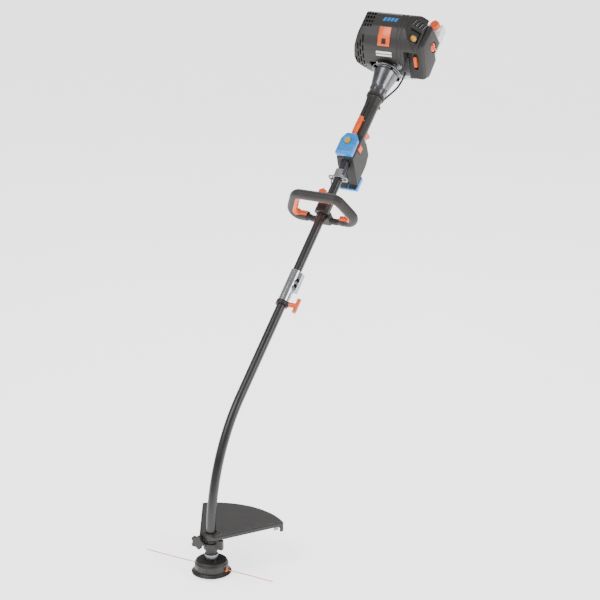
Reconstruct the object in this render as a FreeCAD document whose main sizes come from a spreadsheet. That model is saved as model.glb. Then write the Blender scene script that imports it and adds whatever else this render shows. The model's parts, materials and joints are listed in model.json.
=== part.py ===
import FreeCAD, Part
import math
import os
import re
import Sketcher

# A petrol string trimmer. Millimetres and degrees.
# The document's origin is the middle of the bump knob's bottom face, +Z up the head's axis,
# +Y back toward the operator, +X the operator's left.
# The straight part of the shaft has its own frame: local z runs up the shaft from the bend,
# local x points away from the shaft's underside ("rise"), local y is the operator's left ("side").

Vector = FreeCAD.Vector
doc = FreeCAD.newDocument("StringTrimmer")

SIZES = {
    # boom tube: 1 in steel tube, one gentle bend above the head
    "tube_r": 12.7, "tube_bore": 11.0, "tube_foot": 78.0, "bend_start": 113.2,
    "bend_r": 459.6, "bend_angle": 47.7, "boom_end": 344.0,
    "cable_r": 3.0, "cable_foot": 94.0, "cable_end": 336.0,
    "upper_start": 350.0, "upper_end": 1034.0, "shaft_r": 4.0, "shaft_start": 342.0,
    "shaft_end": 1070.0,
    # quick coupler
    "sleeve_start": 302.0, "sleeve_end": 400.0, "sleeve_r": 15.6, "slide_gap": 0.1,
    "boss_side": 26.0, "boss_start": 336.0, "boss_end": 394.0, "boss_half": 8.0, "slit": 2.0,
    "collar_r": 18.0, "collar_start": 290.0,
    "tee_reach": 45.0, "tee_half": 21.5, "tee_r": 6.0,
    # cutting head
    "flange_r": 53.5, "head_r": 45.0, "head_top": 44.0, "lid_z": 15.5, "head_wall": 2.7,
    "line_z": 22.0, "line_r": 1.2, "line_root": 43.0, "line_reach_left": 190.0,
    "line_reach_right": 205.0, "line_bow": 1.5, "eyelet_r": 4.5, "eyelet_bore": 1.8,
    "bump_r": 22.0, "bump_face_r": 15.0, "bump_top": 11.8, "spool_r": 38.0, "spool_core": 18.0,
    "spool_foot": 12.0, "spool_top": 32.5, "spring_r": 13.0, "spring_wire": 0.9,
    "cup_r": 18.0, "cup_top": 60.0, "spindle_r": 5.0, "spindle_top": 88.0,
    "housing_r": 16.5, "housing_foot": 53.0, "housing_top": 100.0, "bearing_r": 11.0,
    # guard
    "guard_r": 204.0, "guard_wall": 3.0, "guard_top": 118.0, "guard_skirt": 28.0, "lip_drop": 13.0,
    "guard_nose": 20.0, "guard_nose_half": 24.0, "guard_far": 212.0, "guard_far_half": 162.0,
    "blade_angle": 31.0, "clamp_foot": 74.0, "clamp_r": 21.0, "ear_half": 36.0,
    "star_r": 15.0, "star_side": -25.0, "star_front": -21.3, "star_z": 96.0, "lobe_r": 6.0,
    # loop handle
    "loop_along": 594.0, "loop_lean": 9.0, "loop_r": 14.0, "loop_low_r": 9.5,
    "loop_top": 70.0, "loop_top_half": 66.0, "loop_low": -20.0, "loop_low_half": 111.0,
    "loop_clamp_rise": -26.0, "loop_bend": 24.0, "lining_shift": 3.5,
    "clamp_half": 21.0, "clamp_start": 582.0, "clamp_end": 652.0, "clamp_rise": 22.0,
    "clamp_knob_r": 13.0, "clamp_knob_along": 640.0, "clamp_knob_rise": 30.0,
    # strap hanger
    "hanger_along": 712.0, "ear_side": 20.5, "ear_rise": 4.0, "eye_r": 6.0, "ring_r": 14.0,
    "ring_wire": 2.0,
    # throttle housing and grip
    "grip_r": 20.5, "grip_start": 846.0, "grip_end": 996.0, "case_half": 27.0, "case_wall": 2.5,
    "cap_start": 775.0, "cap_end": 848.0, "cap_rise": 21.0, "cap_top": 40.0,
    "button_along": 818.0, "button_r": 9.0, "button_travel": 3.0,
    "pack_start": 724.0, "pack_end": 792.0, "pack_half": 22.5, "pack_top": -26.0,
    "pack_low": -79.0, "pack_foot": 44.0,
    "pack_skirt": -66.0, "switch_along": 817.0, "switch_half": 9.0, "switch_low": -5.0, "switch_high": 15.0,
    "pin_half": 10.0, "trigger_half": 5.5, "trigger_pivot": 866.0, "lever_half": 6.0, "lever_pivot": 906.0,
    # neck and clutch
    "neck_start": 1004.0, "neck_end": 1094.0, "neck_low_r": 24.0, "neck_high_r": 36.0,
    "neck_flange_r": 44.5, "drum_r": 29.0, "drum_start": 1062.0, "drum_end": 1088.0,
    "wheel_start": 1118.0, "wheel_end": 1130.0, "wheel_r": 35.0, "hub_r": 21.0,
    # engine
    "crank_throw": 14.0, "pin_rise": 62.0, "crank_r": 7.0, "web_r": 23.0, "bore_centre": 1203.0, "bore_r": 17.0,
    "fin_r": 33.0, "barrel_r": 24.0, "barrel_foot": 32.0, "head_rise": 90.0, "fin_pitch": 6.0,
    "case_start": 1176.0, "case_end": 1230.0, "crankcase_half": 31.0,
    "plug_rise": 78.0, "port_rise": 54.0, "muffler_side": -92.0,
    "cover_start": 1096.0, "cover_end": 1244.0, "cover_top": 100.0, "cover_wall": 3.0,
    "cover_left": 60.0, "shoulder": 100.0, "shoulder_rise": 60.0,
    "filter_side": 112.0, "filter_in": 62.0, "filter_knob_r": 13.0,
    "filter_knob_rise": 4.0, "filter_knob_along": 1192.0,
    "choke_low": 83.0, "choke_high": 90.0, "choke_rise": 8.0, "choke_along": 1124.0,
    "bulb_r": 9.0, "bulb_rise": 72.0, "bulb_side": 80.0, "bulb_along": 1166.0,
    "tank_start": 1108.0, "tank_end": 1306.0, "tank_low": -84.0, "tank_top": -38.0, "tank_rear": 1212.0,
    "tank_half": 62.0, "tank_wall": 2.2, "fuel_side": 71.0, "fuel_along": 1289.0, "fuel_cap_r": 14.5,
}

sheet = doc.addObject("Spreadsheet::Sheet", "Sizes")
for row, (alias, value) in enumerate(SIZES.items(), start=1):
    sheet.set("A%d" % row, alias)
    sheet.set("B%d" % row, str(value))
    sheet.setAlias("B%d" % row, alias)
doc.recompute()


def mm(alias):
    """A size read from the sheet."""
    return float(sheet.get(alias))


def linked(text):
    """An expression whose size names point at the sheet's cells."""
    def cell(match):
        word = match.group()
        return "Sizes." + word if word in SIZES else word
    return re.sub(r"[a-z_]\w*", cell, str(text))


def bind(item, **sizes):
    for name, text in sizes.items():
        item.setExpression(name, linked(text))


tilt = mm("bend_angle")
bend_exit = Vector(0, mm("bend_r") * (1 - math.cos(math.radians(tilt))),
                   mm("bend_start") + mm("bend_r") * math.sin(math.radians(tilt)))
GROUND = FreeCAD.Placement()
UP = Vector(0, -math.cos(math.radians(tilt)), math.sin(math.radians(tilt)))
ALONG = Vector(0, math.sin(math.radians(tilt)), math.cos(math.radians(tilt)))
SHAFT = FreeCAD.Placement(bend_exit, FreeCAD.Rotation(UP, Vector(1, 0, 0), ALONG, "XYZ"))
pieces = []


def finish(item, label, frame, at=(0, 0, 0), turn=None):
    """Name a finished sub-part and put its own origin at a place of its frame."""
    item.Label = label
    local = FreeCAD.Placement(Vector(*at), turn or FreeCAD.Rotation())
    item.Placement = frame.multiply(local)
    pieces.append(item)
    return item


# ---- sketches -------------------------------------------------------------------------------

def plane_of(body, role):
    return next(f for f in body.Origin.OriginFeatures if f.Role == role)


def attach(sketch, body, plane, lift):
    sketch.AttachmentSupport = [(plane_of(body, plane + "_Plane"), "")]
    sketch.MapMode = "FlatFace"
    sketch.setExpression("AttachmentOffset.Base.z", linked(lift))


def outline(sketch, points):
    """A closed outline whose corners are held by expressions."""
    count = len(points)
    spots = [Vector(math.cos(2 * math.pi * i / count), math.sin(2 * math.pi * i / count), 0)
             for i in range(count)]
    first = len(sketch.Geometry)
    for i in range(count):
        sketch.addGeometry(Part.LineSegment(spots[i], spots[(i + 1) % count]), False)
    for i in range(count):
        follow = first + (i + 1) % count
        sketch.addConstraint(Sketcher.Constraint("Coincident", first + i, 2, follow, 1))
    for i, corner in enumerate(points):
        for kind, text in zip(("DistanceX", "DistanceY"), corner):
            number = sketch.addConstraint(Sketcher.Constraint(kind, -1, 1, first + i, 1, 1.0))
            sketch.setExpression("Constraints[%d]" % number, linked(text))


def circle(sketch, radius, centre=("0", "0")):
    number = sketch.addGeometry(Part.Circle(Vector(1, 1, 0), Vector(0, 0, 1), 1.0), False)
    held = sketch.addConstraint(Sketcher.Constraint("Radius", number, 1.0))
    sketch.setExpression("Constraints[%d]" % held, linked(radius))
    for kind, text in zip(("DistanceX", "DistanceY"), centre):
        held = sketch.addConstraint(Sketcher.Constraint(kind, -1, 1, number, 3, 1.0))
        sketch.setExpression("Constraints[%d]" % held, linked(text))


def draw(body, plane, lift="0", points=None, rounds=()):
    """A sketch on one of the body's own planes: an outline, circles, or both."""
    sketch = body.newObject("Sketcher::SketchObject", "Sketch")
    attach(sketch, body, plane, lift)
    if points:
        outline(sketch, points)
    for item in rounds:
        circle(sketch, *item)
    return sketch


def span(plane, low, high):
    """Where a sketch sits, so that a pad of it fills from low to high."""
    return "-(%s)" % high if plane == "XZ" else low


def new_body():
    return doc.addObject("PartDesign::Body", "Body")


def pad(body, plane, low, high, points=None, rounds=()):
    """Fill from low to high along the plane's normal: XY along z, XZ along y, YZ along x."""
    sketch = draw(body, plane, span(plane, low, high), points, rounds)
    feature = body.newObject("PartDesign::Pad", "Pad")
    feature.Profile = sketch
    bind(feature, Length="(%s) - (%s)" % (high, low))
    body.Tip = feature
    return feature


def carve(body, plane, low, high, points=None, rounds=()):
    """Cut from low to high, and make sure that something was cut."""
    doc.recompute()
    before = body.Tip.Shape.Volume
    sketch = draw(body, plane, span(plane, low, high), points, rounds)
    feature = body.newObject("PartDesign::Pocket", "Pocket")
    feature.Profile = sketch
    feature.Reversed = True
    bind(feature, Length="(%s) - (%s)" % (high, low))
    body.Tip = feature
    doc.recompute()
    if feature.Shape.Volume >= before - 0.01:
        raise RuntimeError("%s cuts nothing" % feature.Name)
    return feature


def turned(body, points, axis="V_Axis"):
    """A profile of (radius, height) turned about the sketch's upright axis."""
    feature = body.newObject("PartDesign::Revolution", "Revolution")
    sketch = draw(body, "XZ", "0", points)
    feature.Profile = sketch
    feature.ReferenceAxis = (sketch, [axis])
    feature.Angle = 360
    body.Tip = feature
    return feature


def around(body, feature, count, axis="Z_Axis"):
    """Repeat a feature about one of the body's axes."""
    pattern = body.newObject("PartDesign::PolarPattern", "PolarPattern")
    pattern.Originals = [feature]
    pattern.Axis = (plane_of(body, axis), [""])
    pattern.Angle = 360
    pattern.Occurrences = count
    body.Tip = pattern
    return pattern


def softened(body, radius, chosen):
    """Round the edges that the test picks."""
    doc.recompute()
    base = body.Tip
    names = ["Edge%d" % (i + 1) for i, edge in enumerate(base.Shape.Edges) if chosen(edge)]
    feature = body.newObject("PartDesign::Fillet", "Fillet")
    feature.Base = (base, names)
    bind(feature, Radius=radius)
    body.Tip = feature
    return feature


def parallel_to(axis):
    """Picks straight edges that run along one local axis."""
    def test(edge):
        if not isinstance(edge.Curve, Part.Line):
            return False
        return abs(abs(edge.Curve.Direction.dot(axis)) - 1) < 1e-6
    return test


# ---- primitives and booleans ------------------------------------------------------------------

def rod(radius, length, at=("0", "0", "0"), axis="z"):
    """A cylinder that starts at a point and runs along one local axis."""
    item = doc.addObject("Part::Cylinder", "Rod")
    bind(item, Radius=radius, Height=length)
    if axis == "x":
        item.Placement.Rotation = FreeCAD.Rotation(Vector(0, 1, 0), 90)
    if axis == "y":
        item.Placement.Rotation = FreeCAD.Rotation(Vector(1, 0, 0), -90)
    for name, text in zip("xyz", at):
        item.setExpression("Placement.Base." + name, linked(text))
    return item


def block(low, high):
    """A box between two corners."""
    item = doc.addObject("Part::Box", "Block")
    sizes = ["(%s) - (%s)" % (b, a) for a, b in zip(low, high)]
    bind(item, Length=sizes[0], Width=sizes[1], Height=sizes[2])
    for name, text in zip("xyz", low):
        item.setExpression("Placement.Base." + name, linked(text))
    return item


def joined(items):
    item = doc.addObject("Part::MultiFuse", "Joined")
    item.Shapes = items
    return item


def less(base, tool):
    item = doc.addObject("Part::Cut", "Less")
    item.Base = base
    item.Tool = tool
    return item


def shared(base, tool):
    item = doc.addObject("Part::Common", "Shared")
    item.Base = base
    item.Tool = tool
    return item


def prism(plane, low, high, points):
    """An outline drawn out from low to high, for use in a boolean."""
    body = new_body()
    pad(body, plane, low, high, points)
    return body


def route(points, bend=None):
    """Straight runs joined by arcs; without a bend, each arc is as large as its runs allow."""
    edges = []
    start = points[0]
    for before, corner, after in zip(points, points[1:], points[2:]):
        shorter = min((before - corner).Length, (after - corner).Length)
        into = (before - corner).normalize()
        out = (after - corner).normalize()
        half = into.getAngle(out) / 2
        reach = bend / math.tan(half) if bend else 0.45 * shorter
        radius = reach * math.tan(half)
        middle = corner + (into + out).normalize() * (radius / math.sin(half) - radius)
        edges.append(Part.LineSegment(start, corner + into * reach).toShape())
        edges.append(Part.Arc(corner + into * reach, middle, corner + out * reach).toShape())
        start = corner + out * reach
    edges.append(Part.LineSegment(start, points[-1]).toShape())
    return Part.Wire(edges)


def swept(wire, radius):
    """A round bar of one radius along a wire."""
    spine = doc.addObject("Part::Feature", "Route")
    spine.Shape = wire
    edge = wire.Edges[0]
    section = doc.addObject("Part::Circle", "Section")
    section.Placement = FreeCAD.Placement(
        edge.valueAt(edge.FirstParameter),
        FreeCAD.Rotation(Vector(0, 0, 1), edge.tangentAt(edge.FirstParameter)))
    bind(section, Radius=radius)
    item = doc.addObject("Part::Sweep", "Sweep")
    item.Sections = [section]
    item.Spine = (spine, ["Edge%d" % (i + 1) for i in range(len(wire.Edges))])
    item.Solid = True
    return item


# ---- boom -------------------------------------------------------------------------------------

def boom_spine(body, foot, end):
    """The boom's centre line: up from the head, round the bend, then straight."""
    sketch = body.newObject("Sketcher::SketchObject", "Spine")
    attach(sketch, body, "YZ", "0")
    bend, start = mm("bend_r"), mm("bend_start")
    low, high = mm(foot), mm(end)
    turn = math.radians(tilt)
    top = Vector(bend_exit.y, bend_exit.z, 0)
    far = top + Vector(math.sin(turn), math.cos(turn), 0) * high
    arc = Part.Circle(Vector(bend, start, 0), Vector(0, 0, 1), bend)
    sketch.addGeometry(Part.LineSegment(Vector(0, low, 0), Vector(0, start, 0)), False)
    sketch.addGeometry(Part.ArcOfCircle(arc, math.pi - turn, math.pi), False)
    sketch.addGeometry(Part.LineSegment(top, far), False)
    sketch.addConstraint([
        Sketcher.Constraint("PointOnObject", 0, 1, -2),
        Sketcher.Constraint("Vertical", 0),
        Sketcher.Constraint("Tangent", 0, 2, 1, 2),
        Sketcher.Constraint("Tangent", 1, 1, 2, 1),
    ])
    held = [
        (Sketcher.Constraint("DistanceY", -1, 1, 0, 1, low), foot),
        (Sketcher.Constraint("DistanceY", -1, 1, 0, 2, start), "bend_start"),
        (Sketcher.Constraint("Radius", 1, bend), "bend_r"),
        (Sketcher.Constraint("Distance", 2, high), end),
        (Sketcher.Constraint("Angle", 2, math.pi / 2 - turn), "90 - bend_angle"),
    ]
    for constraint, text in held:
        number = sketch.addConstraint(constraint)
        sketch.setExpression("Constraints[%d]" % number, linked(text))
    return sketch


def boom_pipe(label, foot, end, radii):
    body = new_body()
    section = draw(body, "XY", foot, rounds=[(radius,) for radius in radii])
    feature = body.newObject("PartDesign::AdditivePipe", "Pipe")
    feature.Profile = section
    feature.Spine = (boom_spine(body, foot, end), [])
    body.Tip = feature
    finish(body, label, GROUND)


def make_boom():
    boom_pipe("lower_tube", "tube_foot", "boom_end", ["tube_r", "tube_bore"])
    boom_pipe("lower_drive_cable", "cable_foot", "cable_end", ["cable_r"])


def make_output_housing():
    body = new_body()
    turned(body, [
        ("spindle_r + 1.5", "housing_foot"), ("cup_r - 2.7", "housing_foot"),
        ("cup_r - 2.7", "housing_foot + 9"), ("housing_r", "housing_foot + 15"),
        ("housing_r", "housing_top - 6"), ("housing_r - 1.5", "housing_top"),
        ("tube_r + slide_gap", "housing_top"), ("tube_r + slide_gap", "tube_foot"),
        ("bearing_r - 2", "tube_foot"), ("bearing_r - 2", "tube_foot - 8"),
        ("bearing_r", "tube_foot - 8"), ("bearing_r", "housing_foot + 7.5"),
        ("spindle_r + 1.5", "housing_foot + 7.5"),
    ])
    finish(body, "output_housing", GROUND)
    ring = new_body()
    turned(ring, [
        ("spindle_r + 0.05", "housing_foot + 8"), ("bearing_r", "housing_foot + 8"),
        ("bearing_r", "tube_foot - 8"), ("spindle_r + 0.05", "tube_foot - 8"),
    ])
    finish(ring, "output_bearing", GROUND)


def sector(low, high, inset):
    """The guard's plan: a wedge from the nose out past the rim."""
    edge = "guard_far_half - %s" % inset
    nose = "guard_nose_half - %s" % inset
    front = "-guard_nose + %s" % inset
    back = "guard_far"
    return prism("XY", low, high, [
        ("-(%s)" % nose, front), (nose, front), (edge, back), ("-(%s)" % edge, back)])


def make_guard():
    foot = "guard_top - guard_skirt"
    under = "guard_top - guard_wall"
    whole = shared(sector(foot, "guard_top", "0"),
                   rod("guard_r", "guard_skirt", ("0", "0", foot)))
    hollow = shared(sector(foot, under, "guard_wall"),
                    rod("guard_r - guard_wall", "guard_skirt - guard_wall", ("0", "0", foot)))
    shell = less(whole, hollow)
    trimmed = less(shell, rod("guard_r - 12", "guard_skirt - lip_drop", ("0", "0", foot)))
    boss = rod("clamp_r", "guard_top + 4 - (housing_top + 1)", ("0", "0", "housing_top + 1"))
    bored = less(joined([trimmed, boss]),
                 rod("tube_r + 0.6", "60", ("0", "0", "guard_top - 40")))
    finish(bored, "guard", GROUND)


def make_guard_clamp():
    """A band round the output housing with an ear each side, up to the guard."""
    band = rod("clamp_r", "18", ("0", "0", "clamp_foot"))
    ears = block(("-ear_half", "-6", "clamp_foot + 2"), ("ear_half", "6", "guard_top - lip_drop - 1.5"))
    solid = joined([band, ears])
    opening = rod("housing_r + slide_gap", "60", ("0", "0", "clamp_foot - 10"))
    above = rod("clamp_r + 0.3", "40", ("0", "0", "housing_top + 0.5"))
    bolt = rod("3.3", "20", ("star_side", "-10", "star_z"), "y")
    finish(less(less(less(solid, opening), above), bolt), "guard_clamp", GROUND)


def make_guard_knob():
    """A five-lobed knob on a stud; its own z is the stud's axis."""
    body = new_body()
    pad(body, "XY", "0", "10", rounds=[("star_r",)])
    lobe = pad(body, "XY", "0", "10", rounds=[("lobe_r", ("star_r - 1", "0"))])
    around(body, lobe, 5)
    pad(body, "XY", "-28", "0", rounds=[("3",)])
    at = (mm("star_side"), mm("star_front"), mm("star_z"))
    finish(body, "guard_knob", GROUND, at, FreeCAD.Rotation(Vector(1, 0, 0), 90))


def make_line_cutter():
    """A short blade that stands inside the rim and trims the line."""
    body = new_body()
    pad(body, "XZ", "-0.8", "0.8", [
        ("guard_r - 18", "84"), ("guard_r - guard_wall - 0.1", "84"),
        ("guard_r - guard_wall - 0.1", "110"), ("guard_r - 10", "110")])
    angle = 90 - mm("blade_angle")
    finish(body, "line_cutter_blade", GROUND, turn=FreeCAD.Rotation(Vector(0, 0, 1), angle))


# ---- cutting head -------------------------------------------------------------------------------

def make_head_housing():
    body = new_body()
    inner = "head_r - head_wall"
    turned(body, [
        ("spindle_r + 0.1", "head_top"), ("head_r - 3", "head_top"), ("head_r - 3", "head_top - 4.5"),
        ("head_r", "head_top - 7.5"), ("head_r", "lid_z"), (inner, "lid_z"),
        (inner, "head_top - 8.5"), ("head_r - 5.5", "head_top - 5.5"), ("head_r - 5.5", "head_top - 3"),
        ("9", "head_top - 3"), ("9", "30"), ("spindle_r + 0.1", "30")])
    carve(body, "YZ", "-60", "60", rounds=[("eyelet_r + 0.1", ("0", "line_z"))])
    slot = carve(body, "YZ", "head_r - 1", "head_r + 2", [
        ("9", "lid_z + 3"), ("10", "lid_z + 3"), ("10", "head_top - 9"), ("9", "head_top - 9")])
    around(body, slot, 8)
    finish(body, "head_housing", GROUND)


def make_head_cover():
    body = new_body()
    turned(body, [
        ("bump_r + 2", "5"), ("head_r + 1", "5"), ("flange_r", "8"), ("flange_r", "10.5"),
        ("head_r + 2", "lid_z - 1.5"), ("head_r + 1", "lid_z - 0.3"),
        ("head_r - head_wall", "lid_z - 0.3"), ("head_r - head_wall", "9"), ("bump_r + 2", "9")])
    finish(body, "head_cover", GROUND)


def make_spool():
    body = new_body()
    turned(body, [
        ("11", "spool_foot"), ("spool_r", "spool_foot"), ("spool_r", "spool_foot + 2.5"),
        ("spool_core", "spool_foot + 2.5"), ("spool_core", "spool_top - 2.5"),
        ("spool_r", "spool_top - 2.5"), ("spool_r", "spool_top"), ("11", "spool_top")])
    finish(body, "spool", GROUND)
    line = new_body()
    turned(line, [
        ("spool_core + 0.1", "spool_foot + 2.6"), ("spool_r - 6", "spool_foot + 2.6"),
        ("spool_r - 5", "spool_foot + 6"), ("spool_r - 5", "spool_top - 6"),
        ("spool_r - 6", "spool_top - 2.6"), ("spool_core + 0.1", "spool_top - 2.6")])
    finish(line, "line_winding", GROUND)
    bump = new_body()
    turned(bump, [
        ("0", "0"), ("bump_face_r", "0"), ("bump_r - 2", "2"), ("bump_r", "5"),
        ("bump_r", "bump_top"), ("0", "bump_top")])
    finish(bump, "bump_knob", GROUND)


def make_spool_spring():
    helix = Part.makeHelix(2.0, mm("head_top") - 3 - mm("spool_top") - 2.4, mm("spring_r"))
    helix.translate(Vector(0, 0, mm("spool_top") + 1.2))
    finish(swept(helix, "spring_wire"), "spool_spring", GROUND)


def make_line_eyelets():
    sides = []
    for sign, low in (("", "line_root - 2"), ("-", "-(line_root + 5)")):
        barrel = rod("eyelet_r", "7", (low, "0", "line_z"), "x")
        lip_low = "head_r + 0.1" if sign == "" else "-(head_r + 2.1)"
        lip = rod("eyelet_r + 1.8", "2", (lip_low, "0", "line_z"), "x")
        sides.append(joined([barrel, lip]))
    bore = rod("eyelet_bore", "160", ("-80", "0", "line_z"), "x")
    finish(less(joined(sides), bore), "line_eyelets", GROUND)


def make_trimmer_lines():
    """Two free strands, each with the slight curl that it keeps from the spool."""
    for label, side, reach in (("trimmer_line_left", 1, "line_reach_left"),
                               ("trimmer_line_right", -1, "line_reach_right")):
        root = Vector(side * mm("line_root"), 0, mm("line_z"))
        tip = Vector(side * mm(reach), 0, mm("line_z"))
        middle = (root + tip) * 0.5 + Vector(0, side * mm("line_bow"), 0)
        wire = Part.Wire([Part.Arc(root, middle, tip).toShape()])
        finish(swept(wire, "line_r"), label, GROUND)


def make_head_arbor():
    """The polished cup and its spindle, which the head screws onto."""
    body = new_body()
    turned(body, [
        ("0", "18"), ("spindle_r", "18"), ("spindle_r", "head_top + 0.2"), ("cup_r", "head_top + 0.2"),
        ("cup_r", "cup_top"), ("cup_r - 2", "cup_top"), ("cup_r - 2", "head_top + 7"),
        ("spindle_r", "head_top + 7"), ("spindle_r", "spindle_top"), ("0", "spindle_top")])
    finish(body, "head_arbor", GROUND)


# ---- upper shaft and coupler --------------------------------------------------------------------

def ring_body(label, bore, radius, low, high):
    body = new_body()
    turned(body, [(bore, low), (radius, low), (radius, high), (bore, high)])
    finish(body, label, SHAFT)
    return body


def make_upper_shaft():
    ring_body("upper_tube", "tube_bore", "tube_r", "upper_start", "upper_end")
    body = new_body()
    pad(body, "XY", "shaft_start", "shaft_end", rounds=[("shaft_r",)])
    finish(body, "drive_shaft", SHAFT)
    rings = []
    for low in ("upper_start + 10", "580", "810"):
        outer = rod("tube_bore", "18", ("0", "0", low))
        rings.append(less(outer, rod("shaft_r + 0.05", "18", ("0", "0", low))))
    seat = less(rod("13", "9", ("0", "0", "upper_end + 8")),
                rod("shaft_r + 0.05", "9", ("0", "0", "upper_end + 8")))
    finish(joined(rings + [seat]), "shaft_bearings", SHAFT)


CLAMP_SCREWS = ("boss_start + 15", "boss_start + 33")


def make_coupler():
    sleeve = rod("sleeve_r", "sleeve_end - sleeve_start", ("0", "0", "sleeve_start"))
    boss = prism("XZ", "0", "boss_side", [
        ("-boss_half", "boss_start"), ("boss_half", "boss_start"),
        ("boss_half", "boss_end"), ("-boss_half", "boss_end")])
    slope = prism("YZ", "-boss_half - 1", "boss_half + 1", [
        ("boss_side", "boss_start - 1"), ("boss_side + 2", "boss_start - 1"),
        ("boss_side + 2", "boss_start + 12")])
    solid = less(joined([sleeve, boss]), slope)
    bore = rod("tube_r + slide_gap", "200", ("0", "0", "sleeve_start - 50"))
    slit = block(("-slit / 2", "0", "boss_start - 4"), ("slit / 2", "boss_side + 1", "sleeve_end + 1"))
    holes = [rod("2.5", "30", ("-15", "boss_side - 5", along), "x") for along in CLAMP_SCREWS]
    finish(less(solid, joined([bore, slit] + holes)), "coupler_sleeve", SHAFT)


def make_coupler_collar():
    collar = rod("collar_r", "sleeve_start - 0.1 - collar_start", ("0", "0", "collar_start"))
    nose = rod("7.5", "21", ("0", "0", "(sleeve_start + collar_start) / 2"), "y")
    bore = rod("tube_r + slide_gap", "60", ("0", "0", "collar_start - 20"))
    stud = rod("3.4", "40", ("0", "0", "(sleeve_start + collar_start) / 2"), "y")
    trim = rod("20", "20", ("0", "0", "sleeve_start - 0.1"))
    finish(less(less(less(joined([collar, nose]), trim), bore), stud), "coupler_collar", SHAFT)


def make_coupler_knob():
    """A T-handle on a stud that points at the tube."""
    stud = rod("3", "12", ("0", "tube_r + 0.3", "0"), "y")
    barrel = rod("7", "tee_reach - 22", ("0", "22", "0"), "y")
    bar = rod("tee_r", "2 * tee_half", ("0", "tee_reach", "-tee_half"))
    at = (0, 0, (mm("sleeve_start") + mm("collar_start")) / 2)
    finish(joined([stud, barrel, bar]), "coupler_knob", SHAFT, at)


def cap_screw(rise, side, along):
    """A cap screw whose head stands up from a clamp."""
    head = rod("4.2", "4.5", (rise, side, along), "x")
    shank = rod("2.4", "12", ("(%s) - 12" % rise, side, along), "x")
    return joined([head, shank])


def neck_screw(rise, side):
    """A screw head on the neck's flange, at one of its corners."""
    place = "(neck_flange_r - 4) * %s"
    return rod("3.6", "5", (place % rise, place % side, "neck_end - 10.1"))


def make_shaft_screws():
    screws = [cap_screw("boss_half + 0.05", "boss_side - 5", along) for along in CLAMP_SCREWS]
    for rise, side in (("0.7", "0.7"), ("0.7", "-0.7"), ("-0.7", "0.7"), ("-0.7", "-0.7")):
        screws.append(neck_screw(rise, side))
    finish(joined(screws), "shaft_screws", SHAFT)


# ---- loop handle ------------------------------------------------------------------------------

def loop_wire(shift):
    """The loop's centre line in its own plane, from low in the middle round to low again."""
    low, wide = mm("loop_low") + shift, mm("loop_low_half") - 2 * shift
    top, narrow = mm("loop_top") - shift, mm("loop_top_half") - shift
    return route([Vector(low, 52, 0), Vector(low, wide, 0), Vector(top, narrow, 0),
                  Vector(top, -narrow, 0), Vector(low, -wide, 0), Vector(low, -52, 0)],
                 mm("loop_bend") - shift)


def low_bar_wire():
    low, deep = mm("loop_low"), mm("loop_clamp_rise")
    return route([Vector(low, 54, 0), Vector(low - 8, 40, 0), Vector(deep, 12, 0),
                  Vector(deep, -12, 0), Vector(low - 8, -40, 0), Vector(low, -54, 0)], 26.0)


def make_loop_handle():
    lean = FreeCAD.Rotation(Vector(0, 1, 0), -mm("loop_lean"))
    at = (0, 0, mm("loop_along"))
    bar = swept(loop_wire(0), "loop_r")
    low = swept(low_bar_wire(), "loop_low_r")
    seat = block(("loop_clamp_rise - 8", "-clamp_half", "-12"), ("-2.5", "clamp_half", "12"))
    bore = rod("tube_r + 0.1", "80", ("-40 * sin(loop_lean)", "0", "-40 * cos(loop_lean)"))
    bore.Placement.Rotation = FreeCAD.Rotation(Vector(0, 1, 0), mm("loop_lean"))
    finish(less(joined([bar, low, seat]), bore), "loop_handle", SHAFT, at, lean)
    band = swept(loop_wire(mm("lining_shift")), "loop_r - 1.5")
    below = block(("-60", "-140", "-40"), ("-8", "140", "40"))
    skin = less(band, joined([swept(loop_wire(0), "loop_r"), below]))
    finish(skin, "handle_lining", SHAFT, at, lean)


def make_handle_clamp():
    body = new_body()
    pad(body, "XY", "clamp_start + 8", "clamp_end", [
        ("0.2", "-clamp_half"), ("14", "-clamp_half"), ("clamp_rise", "-clamp_half + 8"),
        ("clamp_rise", "clamp_half - 8"), ("14", "clamp_half"), ("0.2", "clamp_half")])
    carve(body, "XY", "clamp_start", "clamp_end + 1", rounds=[("tube_r + 0.1",)])
    carve(body, "YZ", "clamp_rise - 6", "clamp_rise + 1",
          rounds=[("4.3", ("-clamp_half / 3", "clamp_knob_along"))])
    finish(body, "handle_clamp", SHAFT)
    knob = new_body()
    pad(knob, "XY", "0", "11", rounds=[("clamp_knob_r - 2",)])
    lobe = pad(knob, "XY", "0", "11", rounds=[("4", ("clamp_knob_r - 4", "0"))])
    around(knob, lobe, 6)
    pad(knob, "XY", "-13", "0", rounds=[("4",)])
    at = (mm("clamp_knob_rise"), -mm("clamp_half") / 3, mm("clamp_knob_along"))
    finish(knob, "handle_knob", SHAFT, at, FreeCAD.Rotation(Vector(0, 1, 0), 90))


# ---- strap hanger -------------------------------------------------------------------------------

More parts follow.
